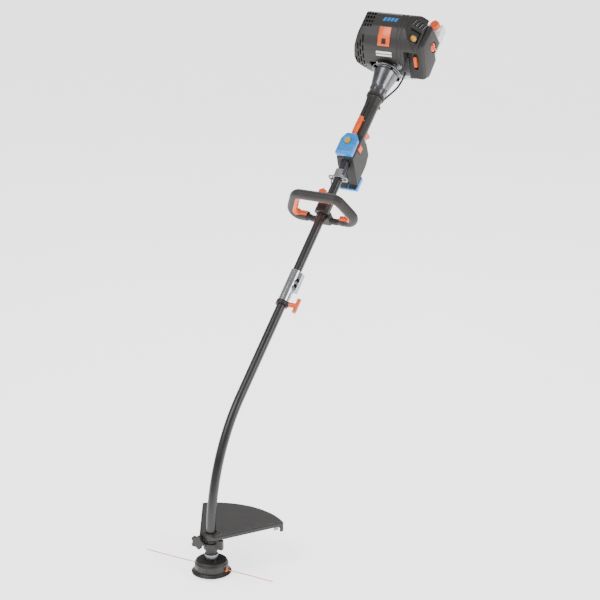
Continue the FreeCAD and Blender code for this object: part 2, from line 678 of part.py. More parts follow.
def make_strap_hanger():
    """A band with an eye each side: one holds the ring, the other stays free for a hook."""
    low, high = "hanger_along - 2", "hanger_along + 2"
    band = rod("tube_r + 1.6", "14", ("0", "0", low))
    ears = prism("XY", low, high, [
        ("-8", "-ear_side - 4"), ("-4", "-ear_side - 9"), ("10", "-ear_side - 9"),
        ("15", "-ear_side - 3"), ("15", "ear_side + 3"), ("10", "ear_side + 9"),
        ("-4", "ear_side + 9"), ("-8", "ear_side + 4")])
    saddle = block(("tube_r + 1", "-11", low), ("tube_r + 3.5", "11", "hanger_along + 26"))
    bore = rod("tube_r + slide_gap", "60", ("0", "0", "hanger_along - 20"))
    eyes = [rod("eye_r", "10", ("ear_rise", side, "hanger_along - 5"))
            for side in ("ear_side", "-ear_side")]
    finish(less(less(joined([band, ears, saddle]), bore), joined(eyes)), "strap_hanger", SHAFT)
    ring = doc.addObject("Part::Torus", "Ring")
    bind(ring, Radius1="ring_r", Radius2="ring_wire")
    at = (mm("ear_rise") - mm("eye_r") + mm("ring_wire") + 0.4 - mm("ring_r"),
          -mm("ear_side"), mm("hanger_along"))
    finish(ring, "strap_ring", SHAFT, at, FreeCAD.Rotation(Vector(1, 0, 0), 90))


# ---- throttle housing and grip ----------------------------------------------------------------

def battery_core(gap, foot):
    """The part of the pack that stands inside the housing, grown by a gap for its bay."""
    body = new_body()
    pad(body, "XZ", "-pack_half - %s" % gap, "pack_half + %s" % gap, [
        ("pack_top + %s" % gap, "pack_start + 33 - %s" % gap), ("-60", "pack_start + 17.5 - %s" % gap),
        ("pack_skirt", "pack_start + 3.5 - %s" % gap), (foot, "pack_start + 3.5 - %s" % gap),
        (foot, "pack_end + %s" % gap), ("pack_top + %s" % gap, "pack_end + %s" % gap)])
    return body


def grip_halves():
    case = prism("XZ", "-case_half", "case_half", [
        ("cap_rise - 1", "cap_start"), ("-60", "pack_start + 14"), ("pack_skirt", "pack_start"),
        ("pack_skirt", "800"), ("-52", "838"), ("-18", "grip_start + 6"),
        ("cap_rise - 1", "grip_start + 6")])
    softened(case, "6", parallel_to(Vector(0, 0, 1)))
    handle = new_body()
    turned(handle, [
        ("0", "grip_start - 20"), ("grip_r", "grip_start - 20"), ("grip_r", "grip_end - 30"),
        ("grip_r + 2", "grip_end - 8"), ("grip_r + 3.5", "grip_end - 3"),
        ("grip_r + 3.5", "grip_end"), ("0", "grip_end")])
    bump = prism("XZ", "-9", "9", [
        ("-18", "grip_end - 26"), ("-38", "grip_end - 12"), ("-38", "grip_end - 4"),
        ("-18", "grip_end - 4")])
    solid = joined([case, handle, bump])
    tube = rod("tube_r + 0.1", "400", ("0", "0", "700"))
    bay = battery_core("0.4", "pack_skirt - 5")
    hollow = block(("-60", "-case_half + case_wall", "pack_end + 4"),
                   ("-tube_r - 4", "case_half - case_wall", "830"))
    trigger = block(("-40", "-trigger_half - 0.5", "trigger_pivot - 6"),
                    ("-tube_r + 1", "trigger_half + 0.5", "trigger_pivot + 37"))
    lever = block(("tube_r - 1", "-lever_half - 0.5", "lever_pivot - 56"),
                  ("40", "lever_half + 0.5", "lever_pivot + 10"))
    window = block(("switch_low - 0.4", "case_half - 7", "switch_along - switch_half - 1"),
                   ("switch_high + 0.4", "case_half + 5", "switch_along + switch_half + 1"))
    pins = [rod("2.1", "2 * pin_half + 0.6", ("-tube_r - 4.5", "-pin_half - 0.3", "trigger_pivot"), "y"),
            rod("2.1", "2 * pin_half + 0.6", ("tube_r + 3.8", "-pin_half - 0.3", "lever_pivot"), "y")]
    whole = less(solid, joined([tube, bay, hollow, trigger, lever, window] + pins))
    for label, low, high in (("grip_shell_left", "0.05", "60"), ("grip_shell_right", "-60", "-0.05")):
        half = block(("-120", low, "680"), ("60", high, "1010"))
        finish(shared(whole, half), label, SHAFT)


def make_starter_cap():
    """A domed cap over the throttle housing, with a button in its crown."""
    body = new_body()
    pad(body, "YZ", "cap_rise - 0.5", "cap_top", [
        ("-case_half", "cap_start"), ("case_half", "cap_start"), ("case_half", "cap_end - 20"),
        ("case_half - 12", "cap_end"), ("-case_half + 12", "cap_end"), ("-case_half", "cap_end - 20")])
    softened(body, "7", lambda edge: edge.BoundBox.XMin > mm("cap_top") - 0.1)
    carve(body, "YZ", "cap_rise - 1", "cap_top - 3.5", [
        ("-case_half + 4", "cap_start + 4"), ("case_half - 4", "cap_start + 4"),
        ("case_half - 4", "cap_end - 22"), ("case_half - 14", "cap_end - 4"),
        ("-case_half + 14", "cap_end - 4"), ("-case_half + 4", "cap_end - 22")])
    carve(body, "YZ", "cap_top - 5", "cap_top + 1",
          rounds=[("button_r + 0.4", ("0", "button_along"))])
    finish(body, "starter_cap", SHAFT)
    button = new_body()
    pad(button, "YZ", "cap_top - 8", "cap_top + button_travel",
        rounds=[("button_r", ("0", "button_along"))])
    pad(button, "YZ", "cap_top - 9.5", "cap_top - 8",
        rounds=[("button_r + 2", ("0", "button_along"))])
    finish(button, "start_button", SHAFT)


def make_battery_pack():
    """A pack that slides down out of the housing, with a blue band and a dark foot."""
    body = battery_core("0", "pack_skirt - 1")
    pad(body, "XZ", "-case_half", "case_half", [
        ("pack_skirt - 0.4", "pack_start - 1"), ("pack_low", "pack_start + 3"),
        ("pack_low", "pack_start + pack_foot"), ("pack_skirt - 0.4", "pack_start + pack_foot + 4")])
    finish(body, "battery_pack", SHAFT)


def make_controls():
    switch = new_body()
    pad(switch, "XZ", "case_half - 5", "case_half + 3", [
        ("switch_low", "switch_along - switch_half"), ("switch_high", "switch_along - switch_half"),
        ("switch_high", "switch_along + switch_half"), ("switch_low", "switch_along + switch_half")])
    softened(switch, "2", lambda edge: edge.BoundBox.YMin > mm("case_half") + 2.9)
    finish(switch, "stop_switch", SHAFT)
    trigger = new_body()
    pad(trigger, "XZ", "-trigger_half", "trigger_half", [
        ("-tube_r - 1.5", "trigger_pivot - 4"), ("-tube_r - 11.5", "trigger_pivot + 33"),
        ("-52", "trigger_pivot + 33"), ("-54", "trigger_pivot + 27"),
        ("-42", "trigger_pivot + 14"), ("-34", "trigger_pivot - 3")])
    pad(trigger, "XZ", "-pin_half", "pin_half", rounds=[("2", ("-tube_r - 4.5", "trigger_pivot"))])
    finish(trigger, "throttle_trigger", SHAFT)
    lever = new_body()
    pad(lever, "XZ", "-lever_half", "lever_half", [
        ("tube_r + 7", "lever_pivot - 54"), ("tube_r + 1.5", "lever_pivot - 4"),
        ("tube_r + 1.5", "lever_pivot + 6"), ("tube_r + 16", "lever_pivot + 8"),
        ("tube_r + 18", "lever_pivot - 20"), ("tube_r + 18", "lever_pivot - 48"),
        ("tube_r + 13", "lever_pivot - 55")])
    pad(lever, "XZ", "-pin_half", "pin_half", rounds=[("2", ("tube_r + 3.8", "lever_pivot"))])
    finish(lever, "lockout_lever", SHAFT)


def make_throttle_cable():
    """The cable loops out of the grip's end and back into the engine."""
    points = [(-32, 0, 993.4), (-34, 6, 1014), (-36, 17, 1038), (-39, 30, 1066),
              (-37, 36, 1094), (-24, 44, 1114)]
    wire = route([Vector(*point) for point in points])
    finish(swept(wire, "cable_r"), "throttle_cable", SHAFT)


# ---- neck and clutch ----------------------------------------------------------------------------

def make_clutch_housing():
    body = new_body()
    turned(body, [
        ("tube_r + slide_gap", "neck_start"), ("neck_low_r", "neck_start"),
        ("neck_low_r + 1", "neck_start + 22"), ("neck_high_r", "neck_end - 12"),
        ("neck_high_r", "neck_end - 5"), ("neck_flange_r", "neck_end - 5"),
        ("neck_flange_r", "neck_end"), ("drum_r + 1.5", "neck_end"), ("drum_r + 1.5", "drum_start - 1"),
        ("13", "drum_start - 6"), ("13", "upper_end + 8"), ("tube_r + slide_gap", "upper_end + 8")])
    rib = pad(body, "YZ", "0", "neck_low_r + 3", [
        ("-1.6", "neck_start + 12"), ("1.6", "neck_start + 12"),
        ("1.6", "neck_start + 24"), ("-1.6", "neck_start + 24")])
    around(body, rib, 8)
    carve(body, "XY", "neck_start - 1", "upper_end + 8", rounds=[("tube_r + slide_gap",)])
    carve(body, "XY", "upper_end + 7.9", "drum_start - 6", rounds=[("13",)])
    finish(body, "clutch_housing", SHAFT)
    ring_body("mount_ring", "tube_r + slide_gap", "neck_low_r + 2.5", "grip_end + 0.5",
              "neck_start - 0.1")


def make_clutch():
    body = new_body()
    turned(body, [
        ("shaft_r + 0.02", "drum_start - 4"), ("9", "drum_start - 4"), ("9", "drum_start"),
        ("drum_r", "drum_start"), ("drum_r", "drum_end"), ("drum_r - 2", "drum_end"),
        ("drum_r - 2", "drum_start + 2"), ("shaft_r + 0.02", "drum_start + 2")])
    finish(body, "clutch_drum", SHAFT)
    wheel = new_body()
    turned(wheel, [
        ("crank_r", "wheel_start"), ("wheel_r - 6", "wheel_start"), ("wheel_r", "wheel_start + 4"),
        ("wheel_r", "wheel_end"), ("crank_r", "wheel_end")])
    fin = pad(wheel, "YZ", "20", "wheel_r - 4", [
        ("-1", "wheel_end - 1"), ("1", "wheel_end - 1"), ("1", "wheel_end + 8"), ("-1", "wheel_end + 8")])
    around(wheel, fin, 14)
    pad(wheel, "XY", "drum_end + 3", "wheel_start + 1", rounds=[("hub_r",), ("crank_r",)])
    shoe = pad(wheel, "XY", "drum_start + 6", "drum_end + 4", [
        ("12", "-12"), ("22", "-13"), ("25", "-4"), ("25", "4"), ("22", "13"), ("12", "12")])
    around(wheel, shoe, 2)
    finish(wheel, "flywheel", SHAFT)


# ---- engine -------------------------------------------------------------------------------------

def make_crankshaft():
    """Two coaxial halves with a web each; the crank pin's place between them is open."""
    halves = []
    middle = "bore_centre"
    for low, high, web in (("drum_start + 12", middle + " - 8", middle + " - 15"),
                           (middle + " + 8", "case_end + 8", middle + " + 8")):
        halves.append(rod("crank_r", "(%s) - (%s)" % (high, low), ("0", "0", low)))
        halves.append(rod("web_r", "7", ("0", "0", web)))
    finish(joined(halves), "crankshaft", SHAFT)


def make_crankcase():
    outer = block(("-crankcase_half - 3", "-crankcase_half - 3", "case_start"),
                  ("barrel_foot - 0.1", "crankcase_half + 3", "case_end"))
    room = rod("web_r + 3", "case_end - case_start - 8", ("0", "0", "case_start + 4"))
    throat = rod("bore_r + 2", "40", ("0", "0", "bore_centre"), "x")
    shaft = rod("crank_r + 0.1", "120", ("0", "0", "case_start - 20"))
    snout = rod("14", "20", ("0", "0", "case_start - 20"))
    finish(less(joined([outer, snout]), joined([room, throat, shaft])), "crankcase", SHAFT)


def make_cylinder():
    """The barrel stands on the crankcase; its own x is the bore's axis."""
    body = new_body()
    points = [("barrel_foot", "bore_r + 0.05"), ("barrel_foot", "barrel_r + 6"),
              ("barrel_foot + 4", "barrel_r + 6"), ("barrel_foot + 4", "barrel_r")]
    for number in range(8):
        fin = "barrel_foot + 10 + %d * fin_pitch" % number
        points += [(fin, "barrel_r"), (fin, "fin_r"), (fin + " + 2", "fin_r"), (fin + " + 2", "barrel_r")]
    points += [("head_rise", "barrel_r"), ("head_rise", "0"), ("plug_rise + 7", "0"),
               ("plug_rise + 7", "bore_r + 0.05")]
    turned(body, points, axis="H_Axis")
    carve(body, "XZ", "-60", "-5", rounds=[("5.1", ("plug_rise", "0"))])
    carve(body, "XZ", "10", "60", rounds=[("5.6", ("port_rise", "0"))])
    carve(body, "XZ", "-60", "-10", rounds=[("4.5", ("port_rise", "0"))])
    carve(body, "XZ", "-60", "-barrel_r + 1.1", rounds=[("7.2", ("port_rise", "0"))])
    carve(body, "XZ", "-60", "-26", rounds=[("8.5", ("plug_rise", "0"))])
    finish(body, "cylinder", SHAFT, (0, 0, mm("bore_centre")))


def make_piston():
    """Piston with skirt at the top of its stroke; its own x is the bore's axis."""
    body = new_body()
    turned(body, [
        ("pin_rise - 6", "bore_r - 3"), ("pin_rise - 6", "bore_r - 0.05"),
        ("pin_rise + 10", "bore_r - 0.05"), ("pin_rise + 10", "0"),
        ("pin_rise + 7", "0"), ("pin_rise + 7", "bore_r - 3")], axis="H_Axis")
    carve(body, "XZ", "-30", "30", rounds=[("4.05", ("pin_rise", "0"))])
    finish(body, "piston", SHAFT, (0, 0, mm("bore_centre")))
    rod_body = new_body()
    pad(rod_body, "XY", "-4", "4", [
        ("18", "-4"), ("pin_rise - 4", "-3"), ("pin_rise - 4", "3"), ("18", "4")])
    pad(rod_body, "XY", "-5", "5", rounds=[("8", ("crank_throw", "0"))])
    carve(rod_body, "XY", "-6", "6", rounds=[("4", ("crank_throw", "0"))])
    pad(rod_body, "XY", "-4", "4", rounds=[("6", ("pin_rise", "0"))])
    pad(rod_body, "XZ", "-15", "15", rounds=[("4", ("pin_rise", "0"))])
    finish(rod_body, "connecting_rod", SHAFT, (0, 0, mm("bore_centre")))


def make_ignition():
    """A spark plug screwed in from the side, with its boot."""
    thread = rod("5", "18", ("plug_rise", "-fin_r - 1", "bore_centre"), "y")
    nut = rod("8", "7", ("plug_rise", "-fin_r - 1", "bore_centre"), "y")
    boot = rod("8", "26", ("plug_rise", "-fin_r - 27", "bore_centre"), "y")
    finish(joined([thread, nut, boot]), "spark_plug", SHAFT)


def make_muffler():
    body = new_body()
    pad(body, "XY", "case_start + 2", "case_end + 4", [
        ("8", "muffler_side + 6"), ("30", "muffler_side"), ("58", "muffler_side + 4"),
        ("64", "muffler_side + 14"), ("64", "-fin_r - 5"), ("8", "-fin_r - 5")])
    softened(body, "3", parallel_to(Vector(0, 0, 1)))
    pad(body, "XZ", "-fin_r - 5.1", "-barrel_r + 1", rounds=[("7", ("port_rise", "bore_centre"))])
    carve(body, "XZ", "-fin_r - 7", "-barrel_r + 2", rounds=[("5", ("port_rise", "bore_centre"))])
    finish(body, "muffler", SHAFT)


def make_carburettor():
    throat = rod("5.4", "30", ("port_rise", "barrel_r - 1", "bore_centre"), "y")
    flange = block(("42", "fin_r + 1", "bore_centre - 12"), ("66", "fin_r + 7", "bore_centre + 12"))
    bowl = block(("28", "fin_r + 7", "bore_centre - 14"),
                 ("68", "cover_left - cover_wall - 0.6", "bore_centre + 14"))
    bore = rod("4", "60", ("port_rise", "barrel_r - 4", "bore_centre"), "y")
    finish(less(joined([throat, flange, bowl]), bore), "carburettor", SHAFT)


FILTER_SIDE = [
    ("shoulder_rise - 1", "1150"), ("56", "1230"), ("-25", "1232"), ("-25", "1190"),
    ("-44", "1184"), ("-48", "1124"), ("-30", "1099")]


def make_air_filter():
    body = new_body()
    pad(body, "XZ", "filter_in", "filter_side", FILTER_SIDE)
    softened(body, "5", lambda edge: edge.BoundBox.YMin > mm("filter_side") - 0.1)
    carve(body, "XZ", "filter_in - 1", "filter_side - 14", [
        ("44", "1156"), ("50", "1224"), ("-20", "1226"), ("-20", "1186"), ("-40", "1178"),
        ("-40", "1130"), ("-24", "1112")])
    carve(body, "XZ", "filter_side - 7", "filter_side + 1",
          rounds=[("filter_knob_r + 3", ("filter_knob_rise", "filter_knob_along"))])
    carve(body, "XZ", "filter_side - 20", "filter_side",
          rounds=[("3.4", ("filter_knob_rise", "filter_knob_along"))])
    carve(body, "XZ", "choke_low - 1", "choke_high + 1", [
        ("37", "1128"), ("-4", "1104"), ("-4", "1132"), ("37", "1142")])
    carve(body, "XZ", "choke_low - 3.5", "choke_high + 3.5",
          rounds=[("2.1", ("choke_rise", "choke_along"))])
    finish(body, "air_filter_cover", SHAFT)
    knob = new_body()
    pad(knob, "XY", "0", "6", rounds=[("filter_knob_r",)])
    pad(knob, "XY", "6", "11", [
        ("-filter_knob_r + 1", "-2.5"), ("filter_knob_r - 1", "-2.5"),
        ("filter_knob_r - 1", "2.5"), ("-filter_knob_r + 1", "2.5")])
    pad(knob, "XY", "-18", "0", rounds=[("3",)])
    at = (mm("filter_knob_rise"), mm("filter_side") - 6.6, mm("filter_knob_along"))
    finish(knob, "filter_knob", SHAFT, at, FreeCAD.Rotation(Vector(1, 0, 0), -90))
    choke = new_body()
    pad(choke, "XZ", "choke_low", "choke_high", [
        ("3", "1117"), ("8", "1113"), ("32", "1124"), ("35", "1129"), ("31", "1133"),
        ("14", "1127"), ("10", "1131"), ("4", "1128")])
    pad(choke, "XZ", "choke_low - 3", "choke_high + 3",
        rounds=[("2", ("choke_rise", "choke_along"))])
    finish(choke, "choke_lever", SHAFT)


def cover_solid(inset):
    """The engine cover's outer shape, or the same shape drawn in by one wall."""
    across = prism("XY", "cover_start + %s" % inset, "cover_end - %s" % inset, [
        ("-31 - %s" % inset, "-56 + 4 * %s" % inset), ("-31 - %s" % inset, "-64 + %s" % inset),
        ("-2 + %s" % inset, "-88 + %s" % inset), ("34", "-102 + %s" % inset),
        ("64 - %s" % inset, "-95 + %s" % inset), ("cover_top - 8 - %s" % inset, "-78 + %s" % inset),
        ("cover_top - %s" % inset, "-66"), ("cover_top - %s" % inset, "cover_left - %s" % inset),
        ("shoulder_rise - %s" % inset, "shoulder - 1.4 * %s" % inset),
        ("shoulder_rise - %s" % inset, "cover_left - %s" % inset),
        ("24 - %s" % inset, "cover_left - %s" % inset), ("26 - %s" % inset, "-50 + 4 * %s" % inset)])
    along = prism("XZ", "-120", "120", [
        ("-32 - %s" % inset, "cover_start + 10 + %s" % inset),
        ("20", "cover_start + 2 + %s" % inset), ("52", "1114 + %s" % inset),
        ("71", "1128 + %s" % inset), ("88", "1148 + %s" % inset),
        ("cover_top - %s" % inset, "1176 + %s" % inset), ("cover_top - %s" % inset, "cover_end - 14"),
        ("cover_top - 12", "cover_end - %s" % inset), ("-32 - %s" % inset, "cover_end - %s" % inset)])
    return shared(across, along)


def bulb_rod(low, radius):
    """A round that stands square to the shoulder, on the primer bulb's axis."""
    body = new_body()
    pad(body, "XY", low, "16", rounds=[(radius,)])
    body.Placement = bulb_place()
    return body


def make_engine_cover():
    """A shell open underneath, with a seat sunk into its shoulder for the primer bulb."""
    room = less(cover_solid("cover_wall"), bulb_rod("-6", "bulb_r + 5"))
    shell = less(cover_solid("0"), room)
    finish(less(shell, bulb_rod("-3.5", "bulb_r + 2")), "engine_cover", SHAFT)


def bulb_place():
    """The primer bulb sits square on the sloping shoulder."""
    fall = mm("cover_top") - mm("shoulder_rise")
    run = mm("shoulder") - mm("cover_left")
    slope = Vector(run, fall, 0).normalize()
    spot = Vector(mm("bulb_rise"), mm("bulb_side"), mm("bulb_along"))
    return FreeCAD.Placement(spot, FreeCAD.Rotation(Vector(0, 0, 1), slope))


def make_cover_latch():
    body = new_body()
    pad(body, "XZ", "-21", "17", [
        ("72", "1126"), ("88.8", "1146"), ("101.5", "1174"), ("103.5", "1174"), ("91", "1144"),
        ("73", "1122")])
    finish(body, "cover_latch", SHAFT)


def make_primer_bulb():
    body = new_body()
    turned(body, [
        ("0", "0"), ("bulb_r + 1", "0"), ("bulb_r + 1", "2"), ("bulb_r - 1", "2"),
        ("bulb_r - 1.5", "6"), ("bulb_r - 5", "9.5"), ("0", "10.5")])
    spot = bulb_place()
    finish(body, "primer_bulb", SHAFT, spot.Base, spot.Rotation)


def tank_shape(inset):
    """The tank under the engine, wider at the back; drawn in by its wall for the hollow."""
    main = prism("XZ", "-tank_half + %s" % inset, "tank_half - 4 - %s" % inset, [
        ("tank_top - %s" % inset, "tank_start + 6 + %s" % inset),
        ("tank_top - 12", "tank_start + %s" % inset),
        ("tank_low + 16", "tank_start + 14 + %s" % inset),
        ("tank_low + %s" % inset, "tank_start + 40"), ("tank_low + %s" % inset, "tank_end - 20"),
        ("tank_low + 16", "tank_end - %s" % inset), ("tank_top - %s" % inset, "tank_end - %s" % inset)])
    rear = prism("XY", "tank_rear + %s" % inset, "tank_end - %s" % inset, [
        ("tank_top - %s" % inset, "0"), ("tank_top - %s" % inset, "fuel_side + fuel_cap_r + 2 - %s" % inset),
        ("tank_low + 16", "fuel_side + fuel_cap_r + 2 - %s" % inset), ("tank_low + %s" % inset, "fuel_side"),
        ("tank_low + %s" % inset, "0")])
    return joined([main, rear])


def make_fuel_tank():
    """A milky tank with its filler neck at the back."""
    neck = rod("fuel_cap_r - 3", "12", ("tank_top - 3", "fuel_side", "fuel_along"), "x")
    mouth = rod("fuel_cap_r - 5", "20", ("tank_top - 8", "fuel_side", "fuel_along"), "x")
    shell = less(joined([tank_shape("0"), neck]), tank_shape("tank_wall"))
    finish(less(shell, mouth), "fuel_tank", SHAFT)
    cap = new_body()
    pad(cap, "XY", "0", "14", rounds=[("fuel_cap_r",)])
    notch = carve(cap, "XY", "4", "14", rounds=[("2.2", ("fuel_cap_r", "0"))])
    around(cap, notch, 12)
    pad(cap, "XY", "13", "19", [("-11", "-2.5"), ("11", "-2.5"), ("11", "2.5"), ("-11", "2.5")])
    at = (mm("tank_top") + 9.2, mm("fuel_side"), mm("fuel_along"))
    finish(cap, "fuel_cap", SHAFT, at, FreeCAD.Rotation(Vector(0, 1, 0), 90))


def make_engine():
    make_crankshaft()
    make_crankcase()
    make_cylinder()
    make_piston()
    make_ignition()
    make_muffler()
    make_carburettor()
    make_air_filter()
    make_engine_cover()
    make_cover_latch()
    make_primer_bulb()
    make_fuel_tank()


def make_head():
    make_head_housing()
    make_head_cover()
    make_spool()
    make_spool_spring()
    make_line_eyelets()
    make_trimmer_lines()
    make_head_arbor()


make_boom()
make_output_housing()
make_guard()
make_guard_clamp()
make_guard_knob()
make_line_cutter()
make_head()
make_upper_shaft()
make_coupler()
make_coupler_collar()
make_coupler_knob()
make_shaft_screws()
make_loop_handle()
make_handle_clamp()
make_strap_hanger()
grip_halves()
make_starter_cap()
make_battery_pack()
make_controls()
make_throttle_cable()
make_clutch_housing()
make_clutch()
make_engine()

doc.recompute()
for item in doc.Objects:
    if "Invalid" in item.State or "Error" in item.State:
        raise RuntimeError("%s (%s) failed: %s" % (item.Name, item.Label, item.State))
for item in pieces:
    if item.Shape.isNull() or not item.Shape.isValid() or not item.Shape.Solids:
        raise RuntimeError("%s has no valid solid" % item.Label)

os.makedirs("parts", exist_ok=True)
for item in pieces:
    item.Shape.exportStep("parts/%s.step" % item.Label)
print("%d sub-parts" % len(pieces))
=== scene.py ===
import json
import math

import bmesh
import bpy
from mathutils import Matrix, Vector


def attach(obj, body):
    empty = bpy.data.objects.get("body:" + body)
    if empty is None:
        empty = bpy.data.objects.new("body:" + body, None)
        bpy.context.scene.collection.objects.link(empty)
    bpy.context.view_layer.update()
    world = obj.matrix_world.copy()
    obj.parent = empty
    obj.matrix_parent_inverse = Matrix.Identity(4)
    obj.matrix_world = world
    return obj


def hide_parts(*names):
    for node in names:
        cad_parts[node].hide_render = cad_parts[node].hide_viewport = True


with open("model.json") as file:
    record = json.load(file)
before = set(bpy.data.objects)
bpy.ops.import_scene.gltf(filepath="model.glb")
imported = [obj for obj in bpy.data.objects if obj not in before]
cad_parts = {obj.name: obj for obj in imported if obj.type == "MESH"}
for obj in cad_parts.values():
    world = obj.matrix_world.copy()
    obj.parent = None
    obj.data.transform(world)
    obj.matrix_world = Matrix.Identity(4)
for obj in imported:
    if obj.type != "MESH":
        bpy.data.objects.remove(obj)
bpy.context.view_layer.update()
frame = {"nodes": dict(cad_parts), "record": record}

# The looks of a petrol string trimmer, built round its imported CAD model.
# Pieces on the shaft are drawn in millimetres in the shaft's frame: rise away from its underside,
# side toward the operator's left, and along it from the bend. Pieces on the head use the ground's frame.

MM = 0.001
joints = {joint["name"]: joint for joint in frame["record"]["behaviour"]["joints"]}
SHAFT_MARK = 700  # from the bend to the drive shaft's joint
ALONG = Vector(joints["drive_shaft_spin"]["axis"])
RISE = -Vector(joints["battery_release"]["axis"])
SIDE = Vector((1, 0, 0))
FOOT = Vector(joints["drive_shaft_spin"]["pos_m"]) - ALONG * SHAFT_MARK * MM
GROUND = Matrix.Scale(MM, 4)
SHAFT = Matrix.Translation(FOOT) @ Matrix((RISE, SIDE, ALONG)).transposed().to_4x4() @ GROUND


def extent(node, place):
    """Lowest and highest corner of a CAD node in a frame, in millimetres."""
    back = place.inverted()
    spots = [back @ vertex.co for vertex in frame["nodes"][node].data.vertices]
    low = Vector([min(spot[i] for spot in spots) for i in range(3)])
    high = Vector([max(spot[i] for spot in spots) for i in range(3)])
    return low, high


# ---- camera and light ---------------------------------------------------------------------------

AZIMUTH = 30.42
PITCH = 17.81
DISTANCE = 5.32
LENS = 119.9
SENSOR_WIDTH = 36
CLIP_END = 60
AIM = Vector((0.0911, 0.3093, 0.6940))


def toward(azimuth, pitch):
    """The direction from the object to a viewer who is that far round and that high."""
    turn, lift = math.radians(azimuth), math.radians(pitch)
    return Vector((math.sin(turn) * math.cos(lift), -math.cos(turn) * math.cos(lift), math.sin(lift)))


def aimed(name, data, azimuth, pitch, distance):
    """A camera or a lamp that looks at the object from a direction and a distance."""
    item = bpy.data.objects.new(name, data)
    bpy.context.collection.objects.link(item)
    back = toward(azimuth, pitch)
    item.location = AIM + back * distance
    item.rotation_euler = back.to_track_quat("Z", "Y").to_euler()
    return item


def set_camera():
    data = bpy.data.cameras.new("studio_camera")
    data.lens = LENS
    data.sensor_width = SENSOR_WIDTH
    data.clip_end = CLIP_END
    bpy.context.scene.camera = aimed("studio_camera", data, AZIMUTH, PITCH, DISTANCE)


def add_softbox(name, azimuth, pitch, distance, size, power):
    data = bpy.data.lights.new(name, "AREA")
    data.shape = "RECTANGLE"
    data.size, data.size_y = size
    data.energy = power
    aimed(name, data, azimuth, pitch, distance)


# ---- finishes -------------------------------------------------------------------------------------

def linear(code):
    """An sRGB hex colour as linear red, green, blue and alpha."""
    shares = [int(code[i:i + 2], 16) / 255 for i in (0, 2, 4)]
    return [share / 12.92 if share <= 0.04045 else ((share + 0.055) / 1.055) ** 2.4
            for share in shares] + [1.0]


def add(tree, kind, settings=None, inputs=None):
    """A shader node with its settings, its values and the sockets it takes from."""
    item = tree.nodes.new("ShaderNode" + kind)
    for name, value in (settings or {}).items():
        setattr(item, name, value)
    for name, value in (inputs or {}).items():
        if isinstance(value, bpy.types.NodeSocket):
            tree.links.new(value, item.inputs[name])
        else:
            item.inputs[name].default_value = value
    return item


def start(name):
    material = bpy.data.materials.new(name)
    material.use_nodes = True
    material.node_tree.nodes.clear()
    tree = material.node_tree
    place = add(tree, "TexCoord").outputs["Object"]
    return material, tree, place


def end(tree, shader):
    add(tree, "OutputMaterial", inputs={"Surface": shader.outputs[0]})


PATTERN_SPAN = {"From Min": 0.3, "From Max": 0.7}  # where nearly all of a noise pattern's values lie


def lumps(millimetres):
    """The scale of a noise pattern whose lumps are about that wide."""
    return 1 / (millimetres * MM)


def mixed(tree, source, dark, light):
    """Two colours blended by a pattern."""
    share = add(tree, "MapRange", inputs={"Value": source, **PATTERN_SPAN}).outputs[0]
    ramp = add(tree, "ValToRGB", inputs={"Fac": share})
    ramp.color_ramp.elements[0].color = linear(dark)
    ramp.color_ramp.elements[1].color = linear(light)
    return ramp.outputs["Color"]


def textured_plastic(name, dark, light, grit=0.9, bump=0.35, rough=(0.42, 0.56), sheen=0.0):
    """Moulded plastic from a spark-eroded tool: a fine even grit that breaks up its highlights."""
    material, tree, place = start(name)
    broad = add(tree, "TexNoise", inputs={
        "Vector": place, "Scale": lumps(30), "Detail": 3.0}).outputs["Fac"]
    fine = add(tree, "TexNoise", inputs={
        "Vector": place, "Scale": lumps(grit), "Detail": 2.0}).outputs["Fac"]
    relief = add(tree, "Bump", inputs={"Strength": bump, "Distance": 0.15 * MM, "Height": fine})
    gloss = add(tree, "MapRange", inputs={
        "Value": fine, **PATTERN_SPAN, "To Min": rough[0], "To Max": rough[1]}).outputs[0]
    shader = add(tree, "BsdfPrincipled", inputs={
        "Base Color": mixed(tree, broad, dark, light), "Roughness": gloss,
        "IOR": 1.5, "Sheen Weight": sheen, "Normal": relief.outputs[0]})
    end(tree, shader)
    return material


def gloss_plastic(name, dark, light, rough=(0.24, 0.34)):
    """Moulded ABS from a smooth tool: clear highlights, with a faint unevenness in them."""
    material, tree, place = start(name)
    broad = add(tree, "TexNoise", inputs={
        "Vector": place, "Scale": lumps(18), "Detail": 3.0}).outputs["Fac"]
    ripple = add(tree, "TexNoise", inputs={
        "Vector": place, "Scale": lumps(5), "Detail": 1.0}).outputs["Fac"]
    relief = add(tree, "Bump", inputs={"Strength": 0.12, "Distance": 0.2 * MM, "Height": ripple})
    gloss = add(tree, "MapRange", inputs={
        "Value": broad, **PATTERN_SPAN, "To Min": rough[0], "To Max": rough[1]}).outputs[0]
    shader = add(tree, "BsdfPrincipled", inputs={
        "Base Color": mixed(tree, broad, dark, light), "Roughness": gloss,
        "IOR": 1.53, "Coat Weight": 0.15, "Coat Roughness": 0.15, "Normal": relief.outputs[0]})
    end(tree, shader)
    return material


